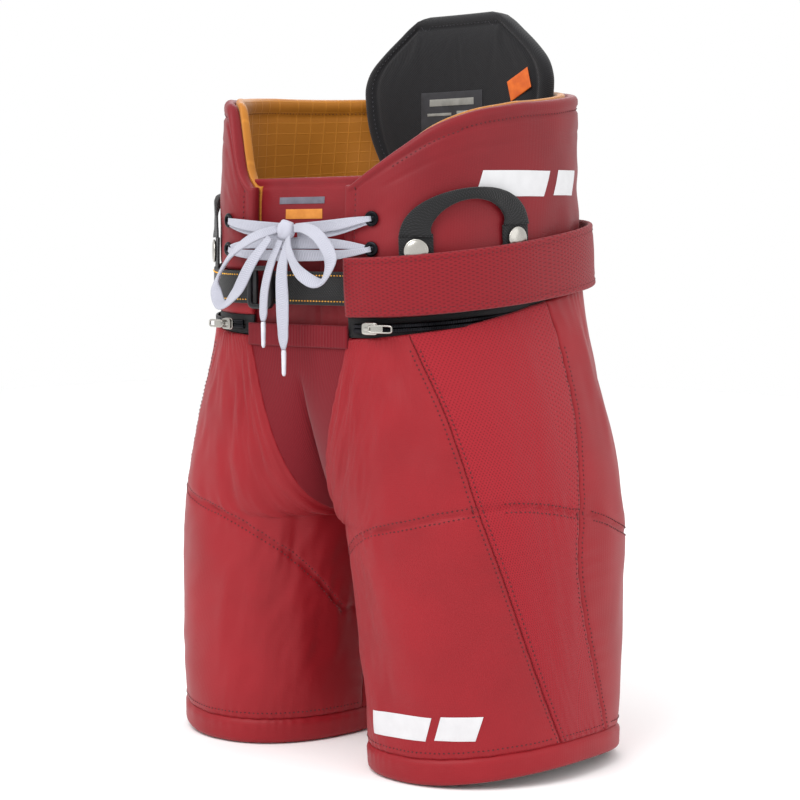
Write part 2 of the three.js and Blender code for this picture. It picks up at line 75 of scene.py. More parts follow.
def direction(azimuth, elevation):
    """Unit vector from the target to the camera: azimuth 0 looks along +Y."""
    flat = math.cos(elevation)
    return Vector((math.sin(azimuth) * flat, -math.cos(azimuth) * flat, math.sin(elevation)))


lens = bpy.data.cameras.new("camera")
camera = bpy.data.objects.new("camera", lens)
bpy.context.scene.collection.objects.link(camera)
bpy.context.scene.camera = camera
lens.lens, lens.sensor_width = FOCAL_MM, SENSOR_MM
lens.shift_x = 0.006
lens.clip_start = 0.05
camera.location = TARGET + direction(AZIMUTH, ELEVATION) * DISTANCE
camera.rotation_euler = (TARGET - camera.location).to_track_quat("-Z", "Y").to_euler()
print("camera at", [round(v, 3) for v in camera.location])


# %% Light and floor
def area_light(name, azimuth, elevation, distance, size, power):
    """A square area lamp on a ring round the target, pointing at it."""
    lamp = bpy.data.lights.new(name, "AREA")
    lamp.size = size
    lamp.energy = power
    holder = bpy.data.objects.new(name, lamp)
    bpy.context.scene.collection.objects.link(holder)
    holder.location = TARGET + direction(math.radians(azimuth), math.radians(elevation)) * distance
    holder.rotation_euler = (TARGET - holder.location).to_track_quat("-Z", "Y").to_euler()


area_light("key", 5, 48, 1.6, 1.1, 17)
area_light("fill", 100, 22, 1.9, 1.4, 6)
area_light("rim", 215, 40, 1.8, 0.9, 5)

world = bpy.data.worlds.new("studio")
bpy.context.scene.world = world
world.use_nodes = True
world.node_tree.nodes["Background"].inputs["Color"].default_value = (1, 1, 1, 1)
world.node_tree.nodes["Background"].inputs["Strength"].default_value = 1.0
bpy.context.scene.view_settings.view_transform = "Standard"

# %% [markdown]
# ## Finishes
# Every finish is a short node tree on a Principled shader. Patterns read the piece's own UV map,
# which holds metres along the cloth, so that a weave keeps its real size and follows the surface.


# %% Node helpers
def linear(hexcode):
    """sRGB hex to linear RGBA: x/12.92 below 0.04045, else ((x + 0.055)/1.055)^2.4."""
    parts = [int(hexcode[i:i + 2], 16) / 255 for i in (0, 2, 4)]
    return [p / 12.92 if p <= 0.04045 else ((p + 0.055) / 1.055) ** 2.4 for p in parts] + [1]


def new_material(name, base, rough, metal=0.0, **sockets):
    """A material with one Principled shader; extra keywords set its sockets by name."""
    material = bpy.data.materials.new(name)
    material.use_nodes = True
    shader = material.node_tree.nodes["Principled BSDF"]
    values = {"Base Color": linear(base), "Roughness": rough, "Metallic": metal}
    values.update({key.replace("_", " "): value for key, value in sockets.items()})
    for key, value in values.items():
        shader.inputs[key].default_value = value
    return material, shader


def add(material, kind, settings=(), **links):
    """Adds a node. settings are (socket or property, value); links name a socket and its source."""
    node = material.node_tree.nodes.new(kind)
    for key, value in settings:
        if isinstance(key, int) or key in node.inputs:
            node.inputs[key].default_value = value
        else:
            setattr(node, key, value)
    for key, source in links.items():
        numbered = key[0] == "i" and key[1:].isdigit()
        socket = node.inputs[int(key[1:]) if numbered else key]
        material.node_tree.links.new(source, socket)
    return node


def wire(material, source, target):
    material.node_tree.links.new(source, target)


def cloth_coordinates(material, scale):
    """The cloth's own metres times scale, split into across and along."""
    coordinates = add(material, "ShaderNodeTexCoord")
    scaled = add(material, "ShaderNodeMapping", [("Scale", (scale, scale, scale))],
                 Vector=coordinates.outputs["UV"])
    parts = add(material, "ShaderNodeSeparateXYZ", i0=scaled.outputs[0])
    return scaled.outputs[0], parts.outputs["X"], parts.outputs["Y"]


def calc(material, operation, a, b=None):
    """One Math node; a and b are numbers or sockets."""
    node = add(material, "ShaderNodeMath", [("operation", operation)])
    for index, value in enumerate((a, b)):
        if value is None:
            continue
        if isinstance(value, (int, float)):
            node.inputs[index].default_value = value
        else:
            wire(material, value, node.inputs[index])
    return node.outputs[0]


def wave(material, position, turns=1.0):
    """0.5 + 0.5 sin(2 pi turns position)."""
    angle = calc(material, "MULTIPLY", position, 2 * math.pi * turns)
    return calc(material, "MULTIPLY_ADD", calc(material, "SINE", angle), 0.5)


def blotches(material, size, detail=3.0):
    """Slow noise on Object coordinates; size is one blotch in metres."""
    coordinates = add(material, "ShaderNodeTexCoord")
    noise = add(material, "ShaderNodeTexNoise", [("Scale", 1 / size), ("Detail", detail)],
                Vector=coordinates.outputs["Object"])
    return noise.outputs["Fac"]


def shade(material, shader, factor, dark, light, low=0.0, high=1.0):
    """Base colour runs from dark to light as factor goes from low to high."""
    ramp = add(material, "ShaderNodeValToRGB", Fac=factor)
    ramp.color_ramp.elements[0].position = low
    ramp.color_ramp.elements[1].position = high
    ramp.color_ramp.elements[0].color = linear(dark)
    ramp.color_ramp.elements[1].color = linear(light)
    wire(material, ramp.outputs["Color"], shader.inputs["Base Color"])


def relief(material, shader, height, distance, strength):
    """Bump from a height that runs 0 to 1 over distance metres."""
    bump = add(material, "ShaderNodeBump", [("Strength", strength), ("Distance", distance)],
               Height=height)
    wire(material, bump.outputs["Normal"], shader.inputs["Normal"])


# %% [markdown]
# ### Red cloths
# Three red cloths share one dye. The shell is plain-woven nylon taffeta: smooth, a little glossy,
# with a fine thread and slow shade changes where it is stretched. The hip panels and the belt wrap
# are warp-knitted spacer mesh, matt with rows of small holes. The gusset is a ribbed stretch knit.

# %% Nylon taffeta
THREAD = 0.0011      # real threads are 0.3 mm apart; drawn this coarse so that they show


def woven_nylon(name, dark, light):
    """Taffeta: over-under threads from the product of two sines, one each way."""
    material, shader = new_material(name, light, 0.5, Sheen_Weight=0.06, Sheen_Roughness=0.4,
                                    Specular_IOR_Level=0.24, IOR=1.53)
    _, across, along = cloth_coordinates(material, 1 / THREAD)
    threads = calc(material, "MULTIPLY", wave(material, across), wave(material, along))
    slow = blotches(material, 0.055)
    tone = calc(material, "ADD", slow, calc(material, "MULTIPLY", threads, 0.12))
    shade(material, shader, tone, dark, light, 0.2, 0.9)
    relief(material, shader, threads, 0.00012, 0.5)
    return material


NYLON = woven_nylon("nylon_taffeta_crimson", "82121B", "941721")
NYLON_PAINTED_SHADE = woven_nylon("nylon_taffeta_crimson_painted_shade", "6C0F18", "80141D")   # painted shade: the same taffeta darker, for the wings, tongue and fly facing


# %% Spacer mesh
def spacer_mesh(name, dark, light, pitch):
    """Rows of round holes pitch metres apart: a hole is where both slanted sines peak."""
    material, shader = new_material(name, light, 0.72, Sheen_Weight=0.12, Sheen_Roughness=0.5,
                                    Specular_IOR_Level=0.2)
    _, across, along = cloth_coordinates(material, 1 / pitch)
    diagonal = wave(material, calc(material, "ADD", across, along), 0.5)
    other = wave(material, calc(material, "SUBTRACT", across, along), 0.5)
    holes = calc(material, "MULTIPLY", diagonal, other)
    open_part = add(material, "ShaderNodeMapRange", [("From Min", 0.35), ("From Max", 0.75)],
                    Value=holes)
    shade(material, shader, open_part.outputs[0], light, dark)
    inverted = calc(material, "SUBTRACT", 1.0, open_part.outputs[0])
    relief(material, shader, inverted, 0.0004, 0.7)
    return material


MESH = spacer_mesh("polyester_spacer_mesh", "80151E", "951A25", 0.0015)
WRAP_MESH = spacer_mesh("polyester_spacer_mesh_belt", "6A101A", "80161F", 0.0013)


# %% Ribbed knit
RIB = 0.0013         # one rib of the stretch knit


def ribbed_knit(name, dark, light):
    """Upright ribs across the width, with a slower row ripple along each rib."""
    material, shader = new_material(name, light, 0.78, Sheen_Weight=0.1, Sheen_Roughness=0.5,
                                    Specular_IOR_Level=0.15)
    _, across, along = cloth_coordinates(material, 1 / RIB)
    ribs = wave(material, across)
    rows = wave(material, along, 1.4)
    height = calc(material, "MULTIPLY_ADD", rows, 0.3)
    wire(material, ribs, height.node.inputs[2])
    shade(material, shader, height, dark, light, 0.1, 1.0)
    relief(material, shader, height, 0.0002, 0.5)
    return material


KNIT = ribbed_knit("polyester_rib_knit", "64101A", "75151F")
print("red cloths:", NYLON.name, MESH.name, KNIT.name)

# %% [markdown]
# ### Lining, webbing and padding cloths
# The wings are lined in gold ripstop: thin nylon with a heavier thread every 7 mm, which draws a
# faint lighter grid. Belts and loops are black polypropylene webbing with a coarse diagonal weave.
# The spine pad wears a black brushed knit.


# %% Ripstop lining
def ripstop(name, dark, light, grid):
    """Thin nylon with a raised thread along every grid line: |sin| near zero marks the line."""
    material, shader = new_material(name, light, 0.55, Sheen_Weight=0.25, Sheen_Roughness=0.4,
                                    Specular_IOR_Level=0.35)
    _, across, along = cloth_coordinates(material, 1 / grid)
    lines = []
    for position in (across, along):
        swing = calc(material, "ABSOLUTE", calc(material, "SINE", calc(material, "MULTIPLY",
                                                                       position, math.pi)))
        line = add(material, "ShaderNodeMapRange", [("From Min", 0.22), ("From Max", 0.04)],
                   Value=swing)
        lines.append(line.outputs[0])
    grid_lines = calc(material, "MAXIMUM", lines[0], lines[1])
    broken = calc(material, "MULTIPLY", grid_lines, blotches(material, 0.012, 2.0))
    tone = calc(material, "MULTIPLY_ADD", blotches(material, 0.05), 0.5)
    wire(material, broken, tone.node.inputs[2])
    shade(material, shader, tone, dark, light, 0.1, 0.85)
    relief(material, shader, grid_lines, 0.00025, 0.5)
    return material


GOLD = ripstop("nylon_ripstop_gold", "A86710", "BE7A20", 0.007)


# %% Webbing, knit and thread
def webbing_weave(name, dark, light, pitch=0.0022, rough=0.7):
    """Diagonal ribs: a sine of across plus along, crossed by the weft's finer sine."""
    material, shader = new_material(name, light, rough, Sheen_Weight=0.15, Sheen_Roughness=0.5,
                                    Specular_IOR_Level=0.3)
    _, across, along = cloth_coordinates(material, 1 / pitch)
    twill = wave(material, calc(material, "ADD", across, along))
    weft = wave(material, along, 2.0)
    height = calc(material, "MULTIPLY", twill, weft)
    shade(material, shader, height, dark, light)
    relief(material, shader, height, 0.0004, 0.7)
    return material


WEBBING = webbing_weave("polypropylene_webbing_black", "09090A", "232326")
TAPE = webbing_weave("zip_tape_polyester", "08080A", "1E1E22", 0.0012)
PAD_CLOTH = webbing_weave("brushed_knit_black", "0C0C0F", "1F1E23", 0.0014, 0.85)
LACE = webbing_weave("polyester_braid_white", "A4A5B2", "CDCDD6", 0.0015, 0.8)
LINING = spacer_mesh("lining_mesh_black", "060607", "1C1C20", 0.003)


# %% Plain finishes
def plain(name, dark, light, rough, size, bump, **sockets):
    """Moulded or cast stuff: two near tones in slow blotches and a fine grain for the surface."""
    material, shader = new_material(name, light, rough, **sockets)
    shade(material, shader, blotches(material, size * 8), dark, light, 0.35, 0.65)
    relief(material, shader, blotches(material, size, 2.0), bump, 0.35)
    return material


BUCKLE_PLASTIC = plain("acetal_black_moulded", "101012", "1B1B1F", 0.42, 0.0008, 0.00008)
GUARD = plain("polyethylene_black_moulded", "17181B", "26272B", 0.48, 0.002, 0.0001)
FOAM = plain("eva_foam_grey", "3C3D41", "515257", 0.9, 0.0015, 0.0002)
NICKEL = plain("nickel_plated_brass", "A9A6A0", "C0BDB6", 0.24, 0.003, 0.00003, metal=1.0)
BLACK_METAL = plain("black_oxide_brass", "17171A", "2C2C30", 0.3, 0.002, 0.00003, metal=1.0)
TAG = plain("vinyl_orange_printed", "C9560D", "E06C18", 0.5, 0.001, 0.00005)
LABEL = plain("satin_label_charcoal", "1E1E22", "2B2B30", 0.6, 0.001, 0.00005)
PRINT = plain("satin_label_print_grey", "7C7B76", "8F8E88", 0.6, 0.001, 0.00003)
TIP = plain("acetate_lace_tip", "BFC0CA", "D0D1DA", 0.3, 0.001, 0.00003)
RED_THREAD = plain("bonded_thread_crimson", "470810", "560B14", 0.6, 0.0005, 0.0001)
GOLD_THREAD = plain("bonded_thread_orange", "E89A1C", "F8BE3C", 0.5, 0.0005, 0.0001)
DARK_GOLD_THREAD = plain("bonded_thread_brown", "6E3E06", "8A5210", 0.6, 0.0005, 0.0001)
GREY_THREAD = plain("bonded_thread_charcoal", "2C2C31", "3B3B41", 0.6, 0.0005, 0.0001)
WHITE_PRINT = plain("screen_print_white", "CDCDCF", "D2D2D4", 0.55, 0.001, 0.00003)
GREY_PRINT = plain("screen_print_slate", "5C5964", "696672", 0.55, 0.001, 0.00003)
ORANGE_PRINT = plain("screen_print_orange", "C87A24", "D88A32", 0.55, 0.001, 0.00003)
print("finishes:", len(bpy.data.materials))

# %% [markdown]
# ## The skin of the pants
# The whole garment follows one smooth skin, so one function gives every place: turn goes round one
# half (-1 inner seam, 0 front, 1 back, 2 inner seam again) and z goes up. Modelling the panels by
# hand would need each seam matched by eye; with one formula they meet by themselves.

# %% The skin function
# height, middle of the leg, reach to the side, front and back, and half the gap between the legs
STATIONS = np.array([
    [0, 88, 77, 86, 94, 25], [96, 85, 81, 89, 99, 18], [163, 78, 85, 92, 106, 5],
    [225, 65, 83, 92, 110, 0], [286, 51, 79, 90, 108, 0], [356, 48, 76, 91, 103, 0],
    [440, 44, 78, 88, 106, 0]], float)
CROTCH_Z, HIP_Z, WAIST_Z = 163, 286, 356
THIGH_TOP, HEM_HEIGHT, HEM_LIFT = 145, 17, 9
JOIN_HEIGHT, ZIP_RISE, ZIP_HIGH = 100, 22, 13
FRONT_POWER, BACK_POWER, INNER_POWER = 1, 0.78, 0.85
FRONT_AT_WAIST = 91
SHIFT_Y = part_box("kidney_wing_left")[0][1] / MM + FRONT_AT_WAIST


def section(z):
    """Centre, side, front, back and gap at z: a cubic Hermite curve through the stations."""
    z = np.asarray(z, float)
    heights, last = STATIONS[:, 0], len(STATIONS) - 1
    i = np.clip(np.searchsorted(heights, z) - 1, 0, last - 1)
    below = np.maximum(np.arange(last + 1) - 1, 0)
    above = np.minimum(np.arange(last + 1) + 1, last)
    slope = (STATIONS[above] - STATIONS[below]) / (heights[above] - heights[below])[:, None]
    p, q = STATIONS[i], STATIONS[i + 1]
    span = (q[..., 0] - p[..., 0])[..., None]
    s = np.clip((z[..., None] - p[..., :1]) / span, 0, 1)
    value = p + s * s * (3 - 2 * s) * (q - p)
    value = value + span * s * (1 - s) * ((1 - s) * slope[i] - s * slope[i + 1])
    return [value[..., k] for k in range(1, 6)]


def joined(z):
    """0 at the crotch, 1 where the two halves have become one trunk."""
    return np.sqrt(np.clip((np.asarray(z, float) - CROTCH_Z) / JOIN_HEIGHT, 0, 1))


def bent(value, power):
    """A sine or cosine raised to a power with its sign kept: it squares or sharpens an ellipse."""
    return np.sign(value) * np.abs(value) ** power


def skin(turn, z, inset=0.0):
    """Point of the left half in mm. Outer half turn: an ellipse bent by a power, which squares the
    back. Inner quarters: from front or back towards the inner seam."""
    turn, z, inset = np.broadcast_arrays(*(np.asarray(v, float) for v in (turn, z, inset)))
    centre, side, front, back, gap = section(z)
    front, back, join = front - inset, back - inset, joined(z)
    turn = np.where(turn > 2, turn - 3, turn)
    angle = turn * np.pi
    power = np.where(turn < 0.5, FRONT_POWER, BACK_POWER)
    cosine = bent(np.cos(angle), power)
    x_out = centre + (side - inset) * np.abs(np.sin(angle)) ** power
    y_out = np.where(cosine > 0, -front * cosine, -back * cosine)
    angle = np.where(turn < 0, -turn, turn - 1) * np.pi / 2
    edge = np.where(turn < 0, -front, back)
    reach = centre - (gap + inset) * (1 - join)
    x_in = centre - reach * np.abs(np.sin(angle)) ** INNER_POWER
    y_in = edge * join + edge * (1 - join) * np.maximum(np.cos(angle), 0) ** INNER_POWER
    outer = (turn >= 0) & (turn <= 1)
    return np.stack([np.where(outer, x_out, x_in), np.where(outer, y_out, y_in) + SHIFT_Y, z], -1)


def turn_at(x, z, sign):
    """Turn at which the front (sign -1) or back (+1) of the skin passes x."""
    x, z = np.broadcast_arrays(np.asarray(x, float), np.asarray(z, float))
    centre, side, _, _, gap = section(z)
    power = FRONT_POWER if sign < 0 else BACK_POWER
    outer = np.arcsin(np.clip((x - centre) / side, 0, 1) ** (1 / power)) / np.pi
    reach = centre - gap * (1 - joined(z))
    inner = np.arcsin(np.clip((centre - x) / reach, 0, 1) ** (1 / INNER_POWER)) / (np.pi / 2)
    if sign < 0:
        return np.where(x >= centre, outer, -inner)
    return np.where(x >= centre, 1 - outer, 1 + inner)


def belt_line(offset, growth=0.0):
    """Height function of a line that climbs with the belt, higher at the back than in front."""
    def line(turn):
        _, _, front, back, _ = section(HIP_Z)
        y = skin(turn, HIP_Z)[..., 1] - SHIFT_Y
        return HIP_Z + offset + (ZIP_RISE + growth) * (y + front) / (front + back)
    return line


WALK_STEPS, SMALL_TURN = 24, 1e-3


def walk(turn, distance, z):
    """Turn reached after a distance in mm along the skin at height z, in small steps."""
    t = turn + 0.0 * np.asarray(distance, float)
    for _ in range(WALK_STEPS):
        step = np.linalg.norm(skin(t + SMALL_TURN, z) - skin(t, z), axis=-1)
        t = t + distance / WALK_STEPS * SMALL_TURN / step
    return t


print("skin at the hip, left side:", np.round(skin(0.5, HIP_Z), 1))


# %% Seam lines and edges, as functions of height or turn
def smooth_line(places):
    """A smooth function through (place, value) pairs: cubic Hermite with centred slopes."""
    xs, ys = np.array(places, float).T
    slopes = np.gradient(ys, xs)

    def line(x):
        x = np.clip(np.asarray(x, float), xs[0], xs[-1])
        i = np.clip(np.searchsorted(xs, x) - 1, 0, len(xs) - 2)
        h = xs[i + 1] - xs[i]
        s = (x - xs[i]) / h
        return (ys[i] + s * s * (3 - 2 * s) * (ys[i + 1] - ys[i])
                + h * s * (1 - s) * ((1 - s) * slopes[i] - s * slopes[i + 1]))
    return line


front_seam = smooth_line([(0, .495), (60, .39), (134, .295), (180, .25), (210, .234), (245, .21),
                          (275, .178), (310, .13)])
rear_seam = smooth_line([(0, .63), (60, .55), (100, .516), (142, .503), (190, .523), (225, .545),
                         (255, .556), (285, .553), (310, .53)])
knee_line = smooth_line([(-.85, 92), (-.7, 113), (-.5, 134), (-.24, 152), (.05, 167), (.2, 176),
                         (.32, 180), (.5, 173), (.66, 157), (1, 142), (1.5, 128), (2, 118)])
GUSSET_LOW_HALF, GUSSET_HIGH_HALF = 4, 46


def gusset_half(z):
    """Half width of the crotch gusset: it grows with height to the power 0.85."""
    s = np.clip((np.asarray(z, float) - CROTCH_Z) / (HIP_Z - CROTCH_Z), 0, 1)
    return GUSSET_LOW_HALF + (GUSSET_HIGH_HALF - GUSSET_LOW_HALF) * s ** 0.85


# (turn, height): the worn cloth of the right wing stands higher in front than the left
wing_rise = {
    1: smooth_line([(0, 385), (.08, 397), (.155, 409), (.23, 421), (.33, 431), (.47, 438),
                    (.67, 446), (1, 455)]),
    -1: smooth_line([(0, 385), (.05, 398), (.09, 420), (.13, 438), (.2, 445), (.35, 449),
                     (.67, 453), (1, 455)]),
}
WING_BACK_DIP = 18


def wing_top(turn, side):
    """Top edge of a wing: it climbs from the fly to the side, then slowly to the back."""
    behind = np.clip(np.asarray(turn) - 1, 0, 1)
    return wing_rise[side](np.clip(turn, 0, 1)) - WING_BACK_DIP * behind


def hem_lift(base):
    """The outer side of the hem stands a little off the ground, and the lines above follow it."""
    def line(turn):
        lift = HEM_LIFT * np.sin(np.clip(turn, 0, 1) * np.pi) ** 2
        return base + lift * max(1 - base / THIGH_TOP, 0)
    return line


zip_low, zip_high = belt_line(0), belt_line(ZIP_HIGH)
wrap_low, wrap_high = belt_line(14), belt_line(52, 5)
web_low, web_high, wing_low = belt_line(21), belt_line(43), belt_line(43)
print("knee seam over the front of the leg at z", float(np.round(knee_line(0.05), 1)))

# %% [markdown]
# ## Making closed sheets
# A sewn panel is two faces that meet in a round rim. One function makes it from a middle sheet
# given on a grid: every point goes half the thickness out and in along the normal, less and less
# towards the rim. Extra rows close to the rim keep the roll round. Everything else on the garment
# that is cloth is this function with another middle sheet.


# %% Mesh from arrays
def make_mesh(name, points, faces, uvs, finish):
    """points in mm, faces as rows of indices, uvs (or None) a pair in metres per face corner."""
    mesh = bpy.data.meshes.new(name)
    mesh.from_pydata((np.asarray(points) * MM).tolist(), [], [tuple(face) for face in faces])
    if uvs is not None:
        layer = mesh.uv_layers.new(name="cloth")
        layer.data.foreach_set("uv", np.asarray(uvs, np.float32).ravel())
    mesh.polygons.foreach_set("use_smooth", np.ones(len(mesh.polygons), bool))
    piece = bpy.data.objects.new(name, mesh)
    bpy.context.scene.collection.objects.link(piece)
    mesh.materials.append(finish)
    return piece


def outward(piece):
    """Turns the faces out when the signed volume, the sum of a.(b x c)/6, is negative."""
    mesh = piece.data
    mesh.calc_loop_triangles()
    co = np.empty(len(mesh.vertices) * 3)
    mesh.vertices.foreach_get("co", co)
    tri = np.empty(len(mesh.loop_triangles) * 3, int)
    mesh.loop_triangles.foreach_get("vertices", tri)
    a, b, c = (co.reshape(-1, 3)[tri.reshape(-1, 3)[:, k]] for k in range(3))
    if np.einsum("ij,ij->", a, np.cross(b, c)) < 0:
        mesh.flip_normals()
    return piece


def finish_piece(piece, body, slot, *nodes, blend=None):
    """Rides on its body, or, given a blend, stays baked where it stands, and hides its CAD nodes.
    slot is not used.
    """
    outward(piece)
    if blend is None:
        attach(piece, body)
    else:
        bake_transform(piece)
    if nodes:
        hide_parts(*nodes)
    return piece


def unit(vectors):
    """Each vector divided by its length."""
    return vectors / np.maximum(np.linalg.norm(vectors, axis=-1, keepdims=True), 1e-9)


def quads(rows, columns, wrap):
    """Indices of the quads of a grid, and the same for its UV grid, which never wraps."""
    r, c = np.meshgrid(np.arange(rows - 1), np.arange(columns if wrap else columns - 1),
                       indexing="ij")
    nxt = (c + 1) % columns
    corner = np.stack([r * columns + c, r * columns + nxt, (r + 1) * columns + nxt,
                       (r + 1) * columns + c], -1).reshape(-1, 4)
    w = columns + 1 if wrap else columns
    chart = np.stack([r * w + c, r * w + c + 1, (r + 1) * w + c + 1, (r + 1) * w + c], -1)
    return corner, chart.reshape(-1, 4)


# %% Padded sheet
def spread(length, rim, step):
    """Places 0 to 1 along a length in mm: five close rows at each rim, then even steps."""
    edge = rim * (1 - np.cos(np.linspace(0, 1, 5) * np.pi / 2))[:-1]
    even = np.linspace(rim, length - rim, max(int((length - 2 * rim) / step), 1) + 1)
    return np.concatenate([edge, even, length - edge[::-1]]) / length


def normals(grid, wrap):
    """Unit normals of a grid of points: the cross product of its two gradients."""
    if wrap:
        padded = np.concatenate([grid[:, -1:], grid, grid[:, :1]], 1)
        du = np.gradient(padded, axis=1)[:, 1:-1]
    else:
        du = np.gradient(grid, axis=1)
    return unit(np.cross(du, np.gradient(grid, axis=0)))


places = {}     # for each sheet, where its points lie along and up the flat cloth, in mm


def sheet_piece(name, middle, size, thick, finish, side=1, *, step, rim=None, outer=None,
                inner=None, wrap=False):
    """A closed panel. middle(u, v) is its middle sheet; thickness T gives half thickness
    T/2 sqrt(1 - (1 - d/rim)^2) at distance d from the edge; outer and inner add their own relief
    in mm as functions of (u, v). side -1 mirrors it to the wearer's right."""
    rim = thick / 2 if rim is None else rim
    wide, high = size
    u = np.arange(int(wide / step)) / int(wide / step) if wrap else spread(wide, rim, step)
    v = spread(high, rim, step)
    uu, vv = np.meshgrid(u, v)
    sheet = middle(uu, vv)
    n = normals(sheet, wrap)
    edge = np.minimum(vv, 1 - vv) * high
    if not wrap:
        edge = np.minimum(edge, np.minimum(uu, 1 - uu) * wide)
    fall = 1 - np.clip(edge / rim, 0, 1)
    swell = np.sqrt(1 - fall * fall)
    lift = 0 if outer is None else outer(uu, vv) * swell
    sink = 0 if inner is None else inner(uu, vv) * swell
    front = sheet + n * (thick / 2 * swell + lift)[..., None]
    back = sheet - n * (thick / 2 * swell + sink)[..., None]
    rows, columns = uu.shape
    own = np.zeros((rows, columns), bool)
    own[1:-1] = True
    if not wrap:
        own[:, 0] = own[:, -1] = False
    index = np.arange(rows * columns).reshape(rows, columns)
    back_index = index.copy()
    back_index[own] = rows * columns + np.arange(own.sum())
    corner, chart = quads(rows, columns, wrap)
    charts = np.stack(np.meshgrid(np.append(u, 1.0) if wrap else u, v), -1) * (wide * MM, high * MM)
    charts = charts.reshape(-1, 2)
    points = np.concatenate([front.reshape(-1, 3), back[own]])
    points[:, 0] *= side
    faces = np.concatenate([corner, back_index.ravel()[corner][:, ::-1]])
    uvs = charts[np.concatenate([chart, chart[:, ::-1]])]
    flat = np.stack([uu * wide, vv * high], -1)
    places[name] = np.concatenate([flat.reshape(-1, 2), flat[own]])
    return outward(make_mesh(name, points, faces, uvs, finish))


def panel(start, stop, low, high, inset):
    """Middle sheet between two turns and two heights, each a number or a function."""
    def value(thing, place):
        return thing(place) if callable(thing) else thing

    def middle(u, v):
        z = value(low, 0.3) + (value(high, 0.3) - value(low, 0.3)) * v
        for _ in range(4):
            first, last = value(start, z), value(stop, z)
            turn = first + (last - first) * u
            z = value(low, turn) + (value(high, turn) - value(low, turn)) * v
        return skin(turn, z, inset)
    return middle


def groove(distance, width, depth):
    """A sewn valley: -depth exp(-(distance/width)^2)."""
    return -depth * np.exp(-(distance / width) ** 2)


def crinkle(u, v, seed, *waves):
    """Soft folds: for each (length, height), three sines of that length in seeded directions."""
    draw = np.random.default_rng(seed)
    total = np.zeros_like(u)
    for length, height in waves:
        for _ in range(3):
            angle, phase = draw.uniform(0, np.pi), draw.uniform(0, 7)
            stretch = draw.uniform(0.8, 1.3)
            along = u * np.cos(angle) + v * np.sin(angle)
            sway = 0.9 * np.sin(2 * np.pi * (v * np.cos(angle) - u * np.sin(angle)) / length / 1.7)
            total += height / 3 * np.sin(2 * np.pi * along / length * stretch + phase + sway)
    return total


# %% [markdown]
# ## Cloth simulation
# Padding swells between the stitches that hold it. The simulation does just that: the rim and the
# seam lines are pinned, pressure fills the piece for twelve frames with gravity off, and the move
# of each point is capped so that the layers keep clear of each other. It runs on the piece's own
# grid, which is even enough, so that no remesh rubs out the seams.


# %% Inflate
INFLATE_FRAMES = 12


def inflate(piece, held, pressure, cap):
    """Cloth with pressure. held is a mask of pinned vertices, cap the farthest move in mm."""
    scene = bpy.context.scene
    group = piece.vertex_groups.new(name="held")
    group.add(np.flatnonzero(held).tolist(), 1.0, "REPLACE")
    cloth = piece.modifiers.new("cloth", "CLOTH")
    cloth.settings.vertex_group_mass = "held"
    cloth.settings.quality = 4
    cloth.settings.use_pressure = True
    cloth.settings.uniform_pressure_force = pressure
    cloth.settings.effector_weights.gravity = 0
    cloth.collision_settings.use_collision = False
    cloth.point_cache.frame_start = 1
    cloth.point_cache.frame_end = INFLATE_FRAMES
    for number in range(1, INFLATE_FRAMES + 1):
        scene.frame_set(number)
    before = np.empty(len(piece.data.vertices) * 3)
    piece.data.vertices.foreach_get("co", before)
    after = np.empty_like(before)
    solved = piece.evaluated_get(bpy.context.evaluated_depsgraph_get())
    solved.data.vertices.foreach_get("co", after)
    piece.modifiers.remove(cloth)
    piece.vertex_groups.remove(piece.vertex_groups["held"])
    scene.frame_set(1)
    before, after = before.reshape(-1, 3), after.reshape(-1, 3)
    move = after - before
    length = np.linalg.norm(move, axis=1, keepdims=True)
    soft = cap * MM * np.tanh(length / (cap * MM))
    moved = before + move * soft / np.maximum(length, 1e-9)
    piece.data.vertices.foreach_set("co", moved.ravel())
    print(f"{piece.name}: {len(before)} points, moved up to {soft.max() / MM:.1f} mm")


# %% Stitches
THREAD_SIDES, THREAD_SINK = 6, 0.1
# size and height of a stitch's two ends and middle, in parts of the thread's thickness
THREAD_RINGS = ((0.35, -0.3), (1.0, 0.25), (0.35, -0.3))


def seat_on(surface):
    """A function from places in mm to the nearest places on a piece and the normals there."""
    mesh = surface.data
    co = np.empty(len(mesh.vertices) * 3)
    mesh.vertices.foreach_get("co", co)
    tree = BVHTree.FromPolygons(co.reshape(-1, 3).tolist(), [p.vertices[:] for p in mesh.polygons])

    def seat(points):
        found = [tree.find_nearest(Vector(point * MM)) for point in points]
        return np.array([f[0] for f in found]) / MM, np.array([f[1] for f in found])
    return seat


